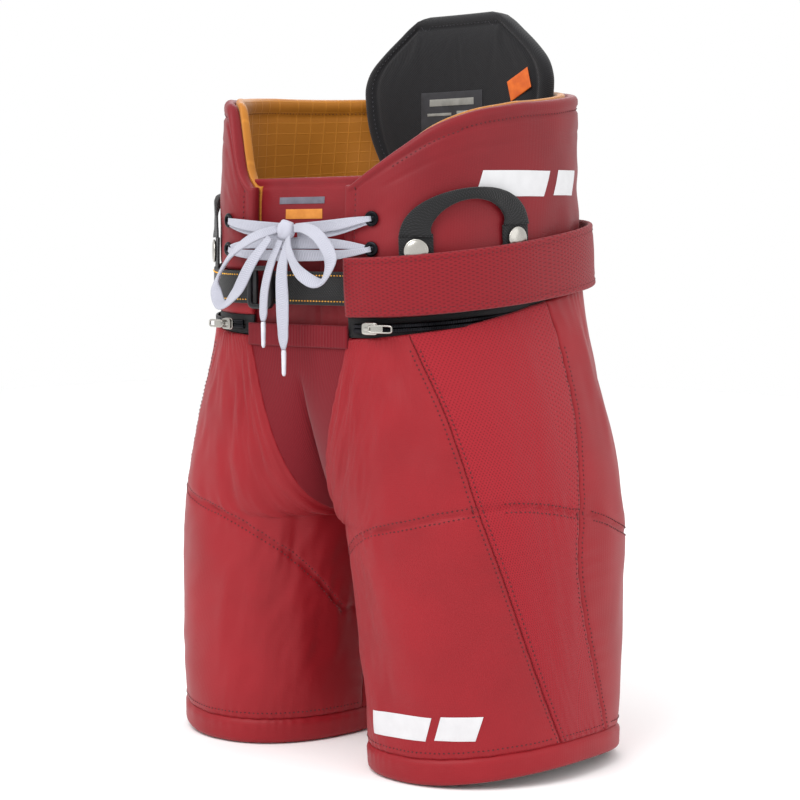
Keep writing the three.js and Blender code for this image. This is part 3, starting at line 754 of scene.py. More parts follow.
def stitches(name, path, finish, body, slot, surface, pitch, length, thick, blend=None):
    """Short threads on a surface. path is a line of points in mm: it is cut into even steps, each
    moved to the nearest place on the surface, and every stitch is a six-sided spindle."""
    step = np.linalg.norm(np.diff(path, axis=0), axis=1)
    along = np.concatenate([[0], np.cumsum(step)])
    count = max(int(along[-1] / pitch), 1)
    middle = (np.arange(count) + 0.5) * along[-1] / count
    seat = seat_on(surface)
    seats, ups = zip(*(seat(np.stack([np.interp(middle + shift, along, path[:, k])
                                      for k in range(3)], -1))
                       for shift in (-length / 2, 0, length / 2)))
    up = unit(ups[1])
    cross = np.cross(up, unit(seats[2] - seats[0]))
    angle = np.arange(THREAD_SIDES) / THREAD_SIDES * 2 * np.pi
    rings = []
    spokes = np.cos(angle)[:, None] * cross[:, None] + np.sin(angle)[:, None] * up[:, None]
    for place, (size, height) in zip(seats, THREAD_RINGS):
        centre = place + up * (thick * height - THREAD_SINK)
        rings.append(centre[:, None] + thick / 2 * size * spokes)
    points = np.concatenate(rings, 1).reshape(-1, 3)
    k = np.arange(THREAD_SIDES)
    nxt = (k + 1) % THREAD_SIDES
    sides = np.concatenate([np.stack([k, nxt, nxt + THREAD_SIDES, k + THREAD_SIDES], -1) + ring
                            for ring in (0, THREAD_SIDES)])
    base = np.arange(count)[:, None, None] * THREAD_SIDES * 3
    faces = (base + sides[None]).reshape(-1, 4).tolist()
    first = (base[:, 0] + k[::-1][None]).tolist()
    last = (base[:, 0] + k[None] + 2 * THREAD_SIDES).tolist()
    piece = bpy.data.objects.new(name, bpy.data.meshes.new(name))
    piece.data.from_pydata((points * MM).tolist(), [], faces + first + last)
    piece.data.materials.append(finish)
    bpy.context.scene.collection.objects.link(piece)
    return finish_piece(piece, body, slot, blend=blend)


print("helpers ready")

# %% [markdown]
# ## Legs
# Each leg is sewn from a front panel of nylon that runs round the inner thigh, a mesh panel over
# the hip and a nylon back panel. They hang from the girdle and follow the thigh. Each leg piece is
# given a bend line slanted from the crotch up to the hip, but stays where it is built and rides on
# no body. The gusset and the zip stay with the girdle, as they do on the real garment.

# %% Bend line
BEND_START, BEND_END = (4, 0, 166), (58.8, 0, 106.4)


def bend(side):
    """Start and end of the bend in metres, mirrored for the wearer's right leg."""
    return [tuple(np.array(p) * (side, 1, 1) * MM) for p in (BEND_START, BEND_END)]


def inner_front(z):
    """Where the front panel starts: the inner seam on the leg, the gusset's edge above it."""
    return np.where(np.asarray(z) > CROTCH_Z, turn_at(gusset_half(z), z, -1), -1.0)


def inner_back(z):
    return np.where(np.asarray(z) > CROTCH_Z, turn_at(gusset_half(z), z, 1), 2.0)


panel_low = hem_lift(HEM_HEIGHT)
# the legs reach up under the wrap towards the back, so the black zip shows as a narrowing wedge
leg_rise = smooth_line([(-1, 0), (.03, 0), (.15, 2), (.3, 5), (.45, 9), (.58, 12.6), (.7, 13),
                        (2, 13)])


def leg_top(turn):
    return zip_low(turn) + leg_rise(turn)


def leg_relief(start, stop, seed, size, fullness):
    """Knee seam, gathers along the seams and slow folds of a leg panel."""
    middle = panel(start, stop, panel_low, leg_top, 0)
    wide, high = size

    def outer(u, v):
        place = middle(u, v)
        z = place[..., 2]
        turn = start(z) + (stop(z) - start(z)) * u
        seam = z - knee_line(turn)
        from_side, from_end = np.minimum(u, 1 - u) * wide, np.minimum(v, 1 - v) * high
        edge = np.minimum(from_side, from_end)
        gather = np.sin(u * wide / 2.3 + 2 * np.sin(u * wide / 11 + seed))
        near_seam = np.exp(-(np.abs(seam) / 9) ** 1.5)
        near_edge = np.exp(-edge / 7)
        along = np.where(from_side < from_end, v * high, u * wide)
        pucker = np.sin(along / 2.1 + 1.7 * np.sin(along / 9 + seed))
        total = groove(seam, 1.8, 1.7) + 0.35 * gather * near_seam + 0.4 * pucker * near_edge
        calm = 1 - np.exp(-(edge / 22) ** 2)
        folds = crinkle(u * wide * 1.25, v * high * 0.8, seed, (95, 1.6), (48, 0.8), (21, 0.28))
        return total + fullness * (folds * calm + 1.4 * (1 - np.exp(-edge / 16)))
    return outer


# (piece, CAD node, first and last seam, width in mm, cloth, slot, fullness of the folds)
LEG_PANELS = (
    ("front_panel", "upper_leg", inner_front, front_seam, 230, NYLON, "red_nylon", 1.0),
    ("hip_mesh_panel", "thigh_mesh", front_seam, rear_seam, 105, MESH, "mesh_fabric", 0.45),
    ("back_panel", "thigh_shell", rear_seam, inner_back, 230, NYLON, "red_nylon", 0.9),
)
LEG_HIGH, PANEL_INSET, PANEL_THICK = 275, 2.4, 3.6
FOLD_SEED = {"left": 11, "right": 16}
legs = {}
for word, side in SIDES:
    for number, (kind, node, start, stop, wide, finish, slot, fullness) in enumerate(LEG_PANELS):
        size = (wide, LEG_HIGH)
        outer = leg_relief(start, stop, FOLD_SEED[word] + number, size, fullness)
        piece = sheet_piece(f"{kind}_{word}", panel(start, stop, panel_low, leg_top, PANEL_INSET),
                            size, PANEL_THICK, finish, side, step=2.2, rim=2.2, outer=outer)
        legs[kind, word] = piece
        finish_piece(piece, f"{word}_leg", slot, f"{node}_{word}", blend=bend(side))
print("leg panels:", len(legs))

# %% [markdown]
# ### Hems, gusset and fly band
# Each leg ends in a folded and padded hem. The gusset between the legs is a strip of ribbed knit
# that runs from the fly, under the crotch, to the back. A band of the same knit closes the fly.


# %% Hem bands
def whole_leg(low, high, inset):
    """Middle sheet of a tube right round one leg: u from 0 to 1 is turn from -1 to 2."""
    def middle(u, v):
        turn = u * 3 - 1
        bottom, top = hem_lift(low)(turn), hem_lift(high)(turn)
        return skin(turn, bottom + (top - bottom) * v, inset)
    return middle


LEG_ROUND, HEM_INSET, HEM_THICK, HEM_OVERLAP = 520, 3.0, 7.8, 0.6
for word, side in SIDES:
    def hem_relief(u, v, seed=side):
        gather = np.sin(u * LEG_ROUND / 1.9 + 2.2 * np.sin(u * LEG_ROUND / 13 + seed))
        return groove((1 - v) * HEM_HEIGHT - 1.5, 1.2, 0.5) + 0.3 * gather * (v ** 2)

    hem = sheet_piece(f"hem_band_{word}", whole_leg(0, HEM_HEIGHT + HEM_OVERLAP, HEM_INSET),
                      (LEG_ROUND, HEM_HEIGHT), HEM_THICK, NYLON, side, step=2.0, outer=hem_relief,
                      wrap=True)
    finish_piece(hem, f"{word}_leg", "red_nylon", f"leg_hem_{word}")
print("hems", len(hem.data.vertices))


# %% Gusset and fly band
def over_skin(x, z, inset, sign=-1):
    """Place on the front (sign -1) or back (+1) of the body at x and z, inset mm inwards."""
    x, z = np.broadcast_arrays(np.asarray(x, float), np.asarray(z, float))
    return np.stack([x, skin(turn_at(np.abs(x), z, sign), z, inset)[..., 1], z], -1)


def across(half, low, high, inset, sign=-1):
    """Middle sheet across the body between x = -half and half."""
    def middle(u, v):
        return over_skin((u * 2 - 1) * half, low + (high - low) * v, inset, sign)
    return middle


GUSSET_WIDE, GUSSET_LONG, GUSSET_INSET, GUSSET_THICK = 70, 420, 2.4, 2.4
GUSSET_FOOT, GUSSET_SEAM = CROTCH_Z + 5, 1.6    # its edges are sewn inside the leg panels


def gusset_sheet(u, v):
    """Down the front, under the crotch and up the back: height falls and rises again with v."""
    top = np.where(v < 0.5, HIP_Z, HIP_Z + ZIP_RISE + ZIP_HIGH)
    z = GUSSET_FOOT + (top - GUSSET_FOOT) * np.abs(2 * v - 1) ** 1.6
    x = (u * 2 - 1) * (gusset_half(z) + GUSSET_SEAM)
    front, back = (over_skin(x, z, GUSSET_INSET, sign) for sign in (-1, 1))
    return np.where((v < 0.5)[..., None], front, back)


def gusset_folds(u, v):
    return crinkle(u * GUSSET_WIDE, v * GUSSET_LONG, 3, (50, 0.7), (20, 0.25))


gusset = sheet_piece("gusset", gusset_sheet, (GUSSET_WIDE, GUSSET_LONG), GUSSET_THICK, KNIT,
                     step=2.4, outer=gusset_folds)
finish_piece(gusset, "girdle", "knit_fabric", "crotch_gusset")

BAND_LOW, BAND_TOP, BAND_HALF, BAND_INSET, BAND_THICK = 279, 294, 46, 0.2, 2.6
BAND_RIB, BAND_PLAIN = 0.42, 0.3        # rib spacing over 2 pi in mm; the part left without ribs


def band_ribs(u, _):
    return 0.22 * np.sin(u * 2 * BAND_HALF / BAND_RIB) * np.clip((u - BAND_PLAIN) * 6, 0, 1)


fly_band = sheet_piece("fly_band", across(BAND_HALF, BAND_LOW, BAND_TOP, BAND_INSET),
                       (2 * BAND_HALF, BAND_TOP - BAND_LOW), BAND_THICK, KNIT, step=0.8,
                       outer=band_ribs)
finish_piece(fly_band, "girdle", "knit_fabric")
print("gusset", len(gusset.data.vertices))

# %% [markdown]
# ## Girdle
# The girdle is a foam body cut as two kidney wings round the waist. Red nylon faces out, gold
# ripstop faces in, and both roll over the top edge, where a row of stitches holds the roll.


# %% Wings
WING_EDGE_X, WING_BACK_X, WING_THICK = 42, 6, 9
WING_INSET, COVER_THICK = WING_THICK / 2 + 0.3, WING_THICK - 0.8
WING_LONG, WING_HIGH, ROLL_SEAM = 270, 100, 9.5


def wing_start(z):
    return turn_at(WING_EDGE_X, z, -1)


def wing_stop(z):
    return turn_at(WING_BACK_X, z, 1)


def wing_relief(seed):
    """A roll along the top and front edges, a second sewn line below it, and slow folds."""
    def outer(u, v):
        along, up = u * WING_LONG, v * WING_HIGH
        edge = np.minimum((1 - v) * WING_HIGH, along)
        pucker = np.sin(along / 2.2 + 1.5 * np.sin(u * 23 + seed)) * np.exp(-np.abs(edge - 10) / 3)
        low_gather = np.sin(along / 4.2 + 2 * np.sin(u * 17)) * np.exp(-(up - 12) / 16)
        total = groove(edge - ROLL_SEAM, 1.6, 1.7) + groove(edge - 25, 1.5, 0.5) + 0.22 * pucker
        calm = 1 - np.exp(-(np.minimum(edge, up) / 18) ** 2)
        folds = crinkle(along, up, seed, (70, 1.0), (33, 0.5), (15, 0.18))
        return total + folds * calm + 0.7 * low_gather * (edge > 10)
    return outer


wings = {}
for word, side in SIDES:
    middle = panel(wing_start, wing_stop, wing_low, lambda t: wing_top(t, side), WING_INSET)
    wing = sheet_piece(f"kidney_wing_cover_{word}", middle, (WING_LONG, WING_HIGH), COVER_THICK,
                       NYLON_PAINTED_SHADE, side, step=2.0, rim=4.2, outer=wing_relief(31 + side))
    wings[word] = wing
    along, up = places[wing.name].T
    edge = np.minimum(WING_HIGH - up, along)
    pins = (edge < 0.8) | (np.abs(edge - ROLL_SEAM) < 1.3) | (up < 14) | (along > WING_LONG - 1)
    inflate(wing, pins, 2.5, 1.3)
    finish_piece(wing, "girdle", "red_nylon", f"kidney_wing_{word}")

# %% Wing linings and inner roll
LINING_INSET, LINING_THICK, LINING_DROP = WING_THICK + 2.1, 4.2, 14


def lining_relief(seed):
    """The roll at the top and front stands in by 2 mm, then a sewn valley, then quilting."""
    def inner(u, v):
        along, up = u * WING_LONG, v * WING_HIGH
        edge = np.minimum((1 - v) * WING_HIGH, along)
        total = 2.2 * np.exp(-((edge - 4) / 4.5) ** 2) + groove(edge - 10, 1.8, 1.0)
        total = total + groove(along - 34, 1.6, 1.2) * (edge > 10)
        return total + crinkle(along, up, seed, (60, 0.8), (24, 0.3))
    return inner


linings = {}
for word, side in SIDES:
    middle = panel(lambda z: wing_start(z) + 0.004, wing_stop, lambda t: wing_low(t) - LINING_DROP,
                   lambda t: wing_top(t, side) + 0.8, LINING_INSET)
    lining = sheet_piece(f"gold_lining_{word}", middle, (WING_LONG, WING_HIGH + LINING_DROP),
                         LINING_THICK, GOLD, side, step=2.2, inner=lining_relief(51 + side))
    linings[word] = lining
    finish_piece(lining, "girdle", "gold_lining", f"wing_lining_{word}")
print("wings and linings", len(wings))


# %% Hip band behind the belt, and the tongue
def across_back(start, low, high, inset):
    """Middle sheet from the left half's turn over the back to the same turn on the right."""
    def middle(u, v):
        half = np.where(u < 0.5, 1.0, -1.0)
        turn = start + (2 - start) * (1 - np.abs(2 * u - 1))
        z = low(turn) + (high(turn) - low(turn)) * v
        place = skin(turn, z, inset)
        return place * np.stack([half, np.ones_like(half), np.ones_like(half)], -1)
    return middle


FLY_TURN = float(turn_at(WING_EDGE_X, WAIST_Z, -1))
HIP_LONG, HIP_HIGH, HIP_INSET, HIP_THICK, HIP_OVERLAP = 560, 30, 3.0, 5.2, 0.4


def hip_folds(u, v):
    return crinkle(u * HIP_LONG, v * HIP_HIGH, 5, (40, 0.6), (17, 0.25))


hip_sheet = across_back(FLY_TURN, lambda t: zip_high(t) + HIP_OVERLAP,
                        lambda t: wing_low(t) - HIP_OVERLAP, HIP_INSET)
hip_band = sheet_piece("hip_band", hip_sheet, (HIP_LONG, HIP_HIGH), HIP_THICK, NYLON, step=2.5,
                       rim=2.4, outer=hip_folds)
finish_piece(hip_band, "girdle", "red_nylon", "hip_shell")

TONGUE_LOW, TONGUE_TOP, TONGUE_HALF, TONGUE_INSET, TONGUE_THICK = 286.6, 391, 62, 12.3, 4.4
TONGUE_WIDE, TONGUE_HIGH, TONGUE_SEAM, RIBBED_UP_TO = 2 * TONGUE_HALF, 104, 5, 22


def tongue_relief(u, v):
    across_way, up = u * TONGUE_WIDE, v * TONGUE_HIGH
    edge = np.minimum((1 - v) * TONGUE_HIGH, np.minimum(u, 1 - u) * TONGUE_WIDE)
    ribs = 0.3 * np.sin(across_way / 1.1) * np.clip((RIBBED_UP_TO - up) / 4, 0, 1)
    folds = crinkle(across_way, up, 77, (60, 0.8), (28, 0.4), (12, 0.12))
    return groove(edge - TONGUE_SEAM, 1.3, 0.9) + folds + ribs


tongue = sheet_piece("fly_tongue", across(TONGUE_HALF, TONGUE_LOW, TONGUE_TOP, TONGUE_INSET),
                     (TONGUE_WIDE, TONGUE_HIGH), TONGUE_THICK, NYLON_PAINTED_SHADE, step=1.6,
                     outer=tongue_relief)
along, up = places[tongue.name].T
edge = np.minimum(TONGUE_HIGH - up, np.minimum(along, TONGUE_WIDE - along))
inflate(tongue, (edge < 0.8) | (np.abs(edge - TONGUE_SEAM) < 1) | (up < 40), 2.0, 0.9)
finish_piece(tongue, "girdle", "red_nylon", "tongue")

FACING_LOW, FACING_TOP, FACING_HALF, FACING_INSET, FACING_THICK = 292, 345, 47, 7.0, 3.0
FACING_WIDE, FACING_HIGH = 2 * FACING_HALF, FACING_TOP - FACING_LOW


def facing_relief(u, v):
    """Two upright seams, where the waist panels lie one over the other, and small folds."""
    place = u * FACING_WIDE
    folds = crinkle(place, v * FACING_HIGH, 9, (30, 0.6), (12, 0.2))
    return folds + groove(place - 62, 1.4, 1.0) + groove(place - 78, 1.4, 0.8)


fly_panel = sheet_piece("fly_facing", across(FACING_HALF, FACING_LOW, FACING_TOP, FACING_INSET),
                        (FACING_WIDE, FACING_HIGH), FACING_THICK, NYLON_PAINTED_SHADE, step=1.6,
                        outer=facing_relief)
finish_piece(fly_panel, "girdle", "red_nylon")
print("tongue", len(tongue.data.vertices))

# %% [markdown]
# ## Belt
# A mesh wrap covers a black webbing belt on both sides. The belt crosses the fly in the open and
# closes in a moulded ladder frame. Two rows of orange thread run along the webbing.

# %% Wraps
WRAP_GAP, WRAP_THICK, WRAP_HIGH = 4.8, 4.0, 41
WRAP_END_X, WRAP_END_TURN, WRAP_STOP = 49, 0.42, 1.96
WRAP_INSET = -WRAP_GAP - WRAP_THICK / 2
# where each wrap starts, and its length in mm
WRAPS = {"left": (float(turn_at(WRAP_END_X, WAIST_Z, -1)), 262), "right": (WRAP_END_TURN, 175)}


def wrap_relief(long, high, seed):
    """Turned edges with a sewn line 5 mm in, a joining seam, and slow waves."""
    def outer(u, v):
        edge = np.minimum(np.minimum(v, 1 - v) * high, np.minimum(u, 1 - u) * long)
        seams = groove(edge - 5, 1.3, 0.45) + groove(u * long - 0.42 * long, 1.2, 0.5)
        return seams + crinkle(u * long, v * high, seed, (80, 0.9), (30, 0.3))
    return outer


wraps = {}
for word, side in SIDES:
    start, long = WRAPS[word]
    wrap = sheet_piece(f"belt_wrap_{word}",
                       panel(start, WRAP_STOP, wrap_low, wrap_high, WRAP_INSET),
                       (long, WRAP_HIGH), WRAP_THICK, WRAP_MESH, side, step=1.8,
                       outer=wrap_relief(long, WRAP_HIGH, 61 + side))
    wraps[word] = wrap
    finish_piece(wrap, "girdle", "mesh_fabric", f"hip_wrap_{word}")
print("wraps done")

# %% Webbing and its orange rows
WEB_INSET, WEB_THICK, WEB_WIDE = -1.1, 1.8, 22
WEB_LEFT_LONG, WEB_RIGHT_LONG, WEB_HIDDEN = 70, 125, 0.5
BUCKLE_X, BUCKLE_WIDE, BUCKLE_HIGH, BUCKLE_BAR = -28, 24, 29, 5


def web_across(x0, x1):
    """Webbing from x0 to x1 in front, flat across the fly."""
    def middle(u, v):
        x = x0 + (x1 - x0) * u
        turn = turn_at(np.abs(x), WAIST_Z, -1)
        z = web_low(turn) + (web_high(turn) - web_low(turn)) * v
        return np.stack([x, skin(turn, WAIST_Z, WEB_INSET - WEB_THICK / 2)[..., 1], z], -1)
    return middle


def web_round(inset):
    """The right webbing: from the buckle round to the end of its wrap."""
    return panel(strap_turn, WRAP_END_TURN, web_low, web_high, inset)


strap_turn = float(turn_at(-BUCKLE_X + BUCKLE_WIDE / 2 - BUCKLE_BAR, WAIST_Z, -1))
left_sheet = web_across(BUCKLE_X + BUCKLE_WIDE / 2 - BUCKLE_BAR, WRAP_END_X - WEB_HIDDEN)
belt_left = sheet_piece("webbing_left", left_sheet, (WEB_LEFT_LONG, WEB_WIDE), WEB_THICK, WEBBING,
                        step=1.5)
finish_piece(belt_left, "girdle", "black_webbing", "belt_webbing_left")
belt_right = sheet_piece("webbing_right", web_round(WEB_INSET - WEB_THICK / 2),
                         (WEB_RIGHT_LONG, WEB_WIDE), WEB_THICK, WEBBING, -1, step=1.5)
finish_piece(belt_right, "girdle", "black_webbing", "belt_webbing_right")
for row, height in (("low", 0.12), ("high", 0.88)):
    u = np.linspace(0.02, 0.98, 60)
    left_line = left_sheet(u, 0 * u + height) + (0, -WEB_THICK, 0)
    right_line = web_round(WEB_INSET - WEB_THICK)(u, 0 * u + height) * (-1, 1, 1)
    for word, belt, line in (("left", belt_left, left_line), ("right", belt_right, right_line)):
        stitches(f"belt_stitch_{word}_{row}", line, GOLD_THREAD, "girdle", "black_webbing", belt,
                 pitch=2.6, length=2.0, thick=1.0)
print("belt done")


# %% Rounded solids for hardware
BLOCK_AROUND, BLOCK_UPWARD = 28, 15


def ringed_faces(rows, around):
    """Quads of a stack of rings, closed by fans to two last points: the low end, then the high."""
    corner, _ = quads(rows, around, wrap=True)
    low, last = rows * around, (rows - 1) * around
    fans = []
    for k in range(around):
        nxt = (k + 1) % around
        fans += [[low, nxt, k], [low + 1, last + k, last + nxt]]
    return corner.tolist() + fans


def rounded_block(centre, size, power=6.0):
    """Superellipsoid: |x/a|^p + |y/b|^p + |z/c|^p = 1, a box with round edges."""
    a = np.linspace(0, 2 * np.pi, BLOCK_AROUND, endpoint=False)
    b = np.linspace(-np.pi / 2, np.pi / 2, BLOCK_UPWARD)[1:-1]
    aa, bb = np.meshgrid(a, b)
    across_way, along_way, up_way, reach = (
        bent(v, 2 / power) for v in (np.cos(aa), np.sin(aa), np.sin(bb), np.cos(bb)))
    ball = np.stack([reach * across_way, reach * along_way, up_way], -1).reshape(-1, 3)
    ball = np.concatenate([ball, [[0, 0, -1], [0, 0, 1]]])
    return ball * np.asarray(size) / 2 + np.asarray(centre), ringed_faces(len(b), BLOCK_AROUND)


def swept(path, ring, up, closed=False):
    """A ring carried along a path. ring[i] holds (across, over) in mm at path point i; across is
    the tangent crossed with up, and over is square to both."""
    path = np.asarray(path, float)
    if closed:
        tangent = unit(np.roll(path, -1, 0) - np.roll(path, 1, 0))
    else:
        tangent = unit(np.gradient(path, axis=0))
    across_way = unit(np.cross(tangent, np.broadcast_to(np.asarray(up, float), tangent.shape)))
    over = np.cross(across_way, tangent)
    ring = np.broadcast_to(np.asarray(ring, float), (len(path),) + np.shape(ring)[-2:])
    rings = path[:, None] + ring[..., :1] * across_way[:, None] + ring[..., 1:] * over[:, None]
    count = ring.shape[1]
    rows = len(path) + 1 if closed else len(path)
    corner, chart = quads(rows, count, wrap=True)
    faces = (corner % (len(path) * count)).tolist()
    step = np.linalg.norm(np.diff(path, axis=0), axis=1)
    along = np.concatenate([[0], np.cumsum(step), [step.sum() + step.mean()]])[:rows]
    girth = np.linalg.norm(np.diff(ring[0], axis=0), axis=1).sum()
    charts = np.stack(np.meshgrid(np.linspace(0, girth, count + 1), along), -1).reshape(-1, 2) * MM
    uvs = charts[chart].reshape(-1, 2)
    if not closed:
        first = list(range(count))[::-1]
        last = [(rows - 1) * count + k for k in range(count)]
        faces += [first, last]
        uvs = np.concatenate([uvs, np.zeros((2 * count, 2))])
    return rings.reshape(-1, 3), faces, uvs


def ring_section(wide, thick, sides, power=2.0):
    """Closed ring of (across, over): a superellipse wide by thick."""
    a = (np.arange(sides) + 0.5) / sides * 2 * np.pi
    return np.stack([wide / 2 * bent(np.cos(a), 2 / power),
                     thick / 2 * bent(np.sin(a), 2 / power)], -1)


def joined_mesh(name, parts, finish):
    """Several (points, faces) in one mesh. Each is turned outwards on its own signed volume."""
    points, faces, base = [], [], 0
    for part_points, part_faces in parts:
        fans = np.array([(f[0], f[i], f[i + 1]) for f in part_faces for i in range(1, len(f) - 1)])
        a, b, c = (part_points[fans[:, k]] - part_points.mean(0) for k in range(3))
        step = -1 if np.einsum("ij,ij->", a, np.cross(b, c)) < 0 else 1
        points.append(part_points)
        faces += [[base + int(i) for i in face[::step]] for face in part_faces]
        base += len(part_points)
    return make_mesh(name, np.concatenate(points), faces, None, finish)


# %% Buckle
buckle_low, buckle_high = (np.array(c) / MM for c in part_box("buckle_frame"))
buckle_middle = (buckle_low + buckle_high) / 2
turn_round = np.linspace(0, 2 * np.pi, 48, endpoint=False)
FRAME_POWER = 7.0


def frame_loop(wide, high):
    """A rounded rectangle in the XZ plane: a superellipse of power FRAME_POWER."""
    return buckle_middle + np.stack([wide / 2 * bent(np.cos(turn_round), 2 / FRAME_POWER),
                                     0 * turn_round,
                                     high / 2 * bent(np.sin(turn_round), 2 / FRAME_POWER)], -1)


buckle_points, buckle_faces, _ = swept(frame_loop(BUCKLE_WIDE - 4.5, BUCKLE_HIGH - 3.5),
                                       ring_section(3.4, 4.4, 12, 4.0), closed=True, up=(0, 1, 0))
bars = [rounded_block(buckle_middle + (-5.2, 0.4, 0), (3.6, 2.6, BUCKLE_HIGH - 5)),
        rounded_block(buckle_middle + (6.2, 0.6, 0), (2.8, 2.2, BUCKLE_HIGH - 5))]
buckle = joined_mesh("ladder_buckle", [(buckle_points, buckle_faces)] + bars, BUCKLE_PLASTIC)
finish_piece(buckle, "buckle", "dark_metal", "buckle_frame")
print("buckle at", np.round(buckle_middle, 1))

# %% [markdown]
# ## Lace
# One flat braided lace closes the fly: two rows in four eyelets, a knot, two bows and two ends.
# The bows and ends are free cords, so each is a strip of fixed length along the route the frame
# gives. A strip carried along a path is the plain way to keep both its width and its length.

# %% Lace strips
LACE_WIDE, LACE_THICK = 8.5, 1.9
knot_low, knot_high = (np.array(c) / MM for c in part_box("lace_knot"))
knot_place = (knot_low + knot_high) / 2


def route(points, count):
    """A smooth line through points: cubic Hermite on the distance walked, count places."""
    points = np.asarray(points, float)
    walked = np.concatenate([[0], np.cumsum(np.linalg.norm(np.diff(points, axis=0), axis=1))])
    even = np.linspace(0, walked[-1], count)
    return np.stack([smooth_line(np.stack([walked, points[:, k]], 1))(even) for k in range(3)], -1)


def lace_strip(name, path, wides, up, nodes=(), thick=LACE_THICK):
    """A flat strip whose width runs through wides along the path; up is the side it shows."""
    s = np.linspace(0, 1, len(path))
    wide = smooth_line(wides)(s)
    ring = ring_section(1, 1, 12, 3.2)[None] * np.stack([wide, 0 * wide + thick], -1)[:, None]
    ring[..., 1] += 0.16 * thick * np.cos(ring[..., 0] / wide[:, None] * 4 * np.pi)
    points, faces, uvs = swept(path, ring, up=up)
    piece = make_mesh(name, points, faces, uvs, LACE)
    return finish_piece(piece, "girdle", "lace", *nodes)


BOWS = {
    "left": [[7.6, 0, 1], [22, -5, 1], [40, -9, -6], [50, -10, -20], [44, -13, -34],
             [28, -15, -28], [16, -13, -14], [8.4, -6.5, -5]],
    "right": [[-7.6, 0, 1], [-26, -5, -5], [-48, -8, -20], [-58, -9, -38], [-50, -12, -50],
              [-34, -14, -42], [-18, -13, -20], [-8.4, -6.5, -5]],
}
TAILS = {
    "left": [[2.5, -1, -7.4], [4, -7.5, -24], [6, -9.5, -48], [7, -9.5, -78]],
    "right": [[-4, -1, -6.8], [-7, -6, -20], [-10, -9.5, -38], [-12, -9.5, -60]],
}
AGLET_LONG = 17


for word, side in SIDES:
    path = route(np.array(BOWS[word]) + knot_place, 60)
    s = np.linspace(0, 1, len(path))
    lean = 0.9 * np.sin(np.pi * s) ** 2
    up = np.stack([side * 0.5 * np.sin(2 * np.pi * s), -np.cos(lean), np.sin(lean)], -1)
    bow = lace_strip(f"lace_loop_{word}", path, [(0, 5), (.2, 8.2), (.5, 8.5), (.85, 7.6), (1, 5)],
                     up, nodes=[f"lace_bow_{word}"])
    path = route(np.array(TAILS[word]) + knot_place, 40)
    s = np.linspace(0, 1, len(path))
    up = np.stack([side * 0.25 * np.sin(3 * s), -1 + 0 * s, 0.1 + 0 * s], -1)
    tail = lace_strip(f"lace_end_{word}", path, [(0, 5), (.25, 8), (.8, 8.5), (.93, 7), (1, 3.2)],
                      up, nodes=[f"lace_tail_{word}"])
    end = path[-1]
    tip_path = end + np.linspace(0, 1, 12)[:, None] * (0, 0, -AGLET_LONG) + (0, 0, -0.3)
    width = np.interp(np.linspace(0, 1, 12), [0, .06, .94, 1], [3.0, 3.4, 2.8, 1.6])
    tip_points, tip_faces, _ = swept(tip_path, ring_section(1, 1, 12)[None] * width[:, None, None],
                                     up=(0, -1, 0))
    tip = make_mesh(f"lace_tip_{word}", tip_points, tip_faces, None, TIP)
    finish_piece(tip, "girdle", "lace", f"lace_aglet_{word}")
    print(word, "bow and end laid")


# %% Lace rows and knot
EYELET_X, EYELET_UP, EYELET_DOWN, KNOT_Z = 66, 363, 343.5, knot_place[2]
row_s = np.linspace(0, 1, 40)
for word, side in SIDES:
    for name, z_in, z_out, inset in (("front", KNOT_Z + 1.5, EYELET_UP, -3.9),
                                     ("behind", KNOT_Z - 3.5, EYELET_UP - 1.5, -2.2)):
        x = side * (4 + (EYELET_X - 4) * row_s)
        z = z_in + (z_out - z_in) * row_s - 1.5 * np.sin(np.pi * row_s)
        dip = np.interp(row_s, [0, .93, 1], [0, 0, 2.8])
        lace_strip(f"lace_upper_{name}_{word}", over_skin(x, z, inset + dip),
                               [(0, 6), (.3, 7.5), (.8, 6), (1, 3.4)], (0, -1, 0), thick=1.3)
for name, z_mid, inset in (("high", 347.4, -2.4), ("low", 339.4, -3.4)):
    s = np.linspace(-1, 1, 60)
    z = z_mid + (EYELET_DOWN - z_mid) * s ** 4
    path = over_skin(s * EYELET_X, z, inset + 2.4 * s ** 16)
    lace_strip(f"lace_lower_{name}", path, [(0, 3.4), (.1, 5.0), (.9, 5.0), (1, 3.4)],
                           (0, -1, 0), thick=1.2)
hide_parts("lace_row_upper")
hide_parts("lace_row_lower")

heart, heart_faces = rounded_block(knot_place, (13.5, 7.8, 12), 2.6)
twist = np.linspace(0, 2 * np.pi, 40, endpoint=False)
band_path = knot_place + np.stack([2.2 * np.sin(twist + 0.6), -3.2 * np.cos(twist),
                                   5.2 * np.sin(twist)], -1)
away = band_path - knot_place
band, band_faces, _ = swept(band_path, ring_section(8.4, 1.9, 12, 3.0), closed=True, up=away)
knot = joined_mesh("knot", [(heart, heart_faces), (band, band_faces)], LACE)
finish_piece(knot, "girdle", "lace", "lace_knot")

# %% [markdown]
# ## Hardware
# Small metal pieces are surfaces of revolution or rounded blocks set square to the skin. Eyelets
# are rolled black brass, the rivets are nickel caps on the webbing feet, and the shell zips have a
# nickel slider with a long pull.


# %% Places square to the skin
def on_skin(turn, z, inset):
    """Origin and axes (rearwards, outwards, up) at a place on the skin."""
    a, b = skin(turn - 0.01, z, inset), skin(turn + 0.01, z, inset)
    rear = unit((b - a) * (1, 1, 0))
    out = np.array([rear[1], -rear[0], 0])
    return skin(turn, z, inset), np.stack([rear, out, [0, 0, 1]])


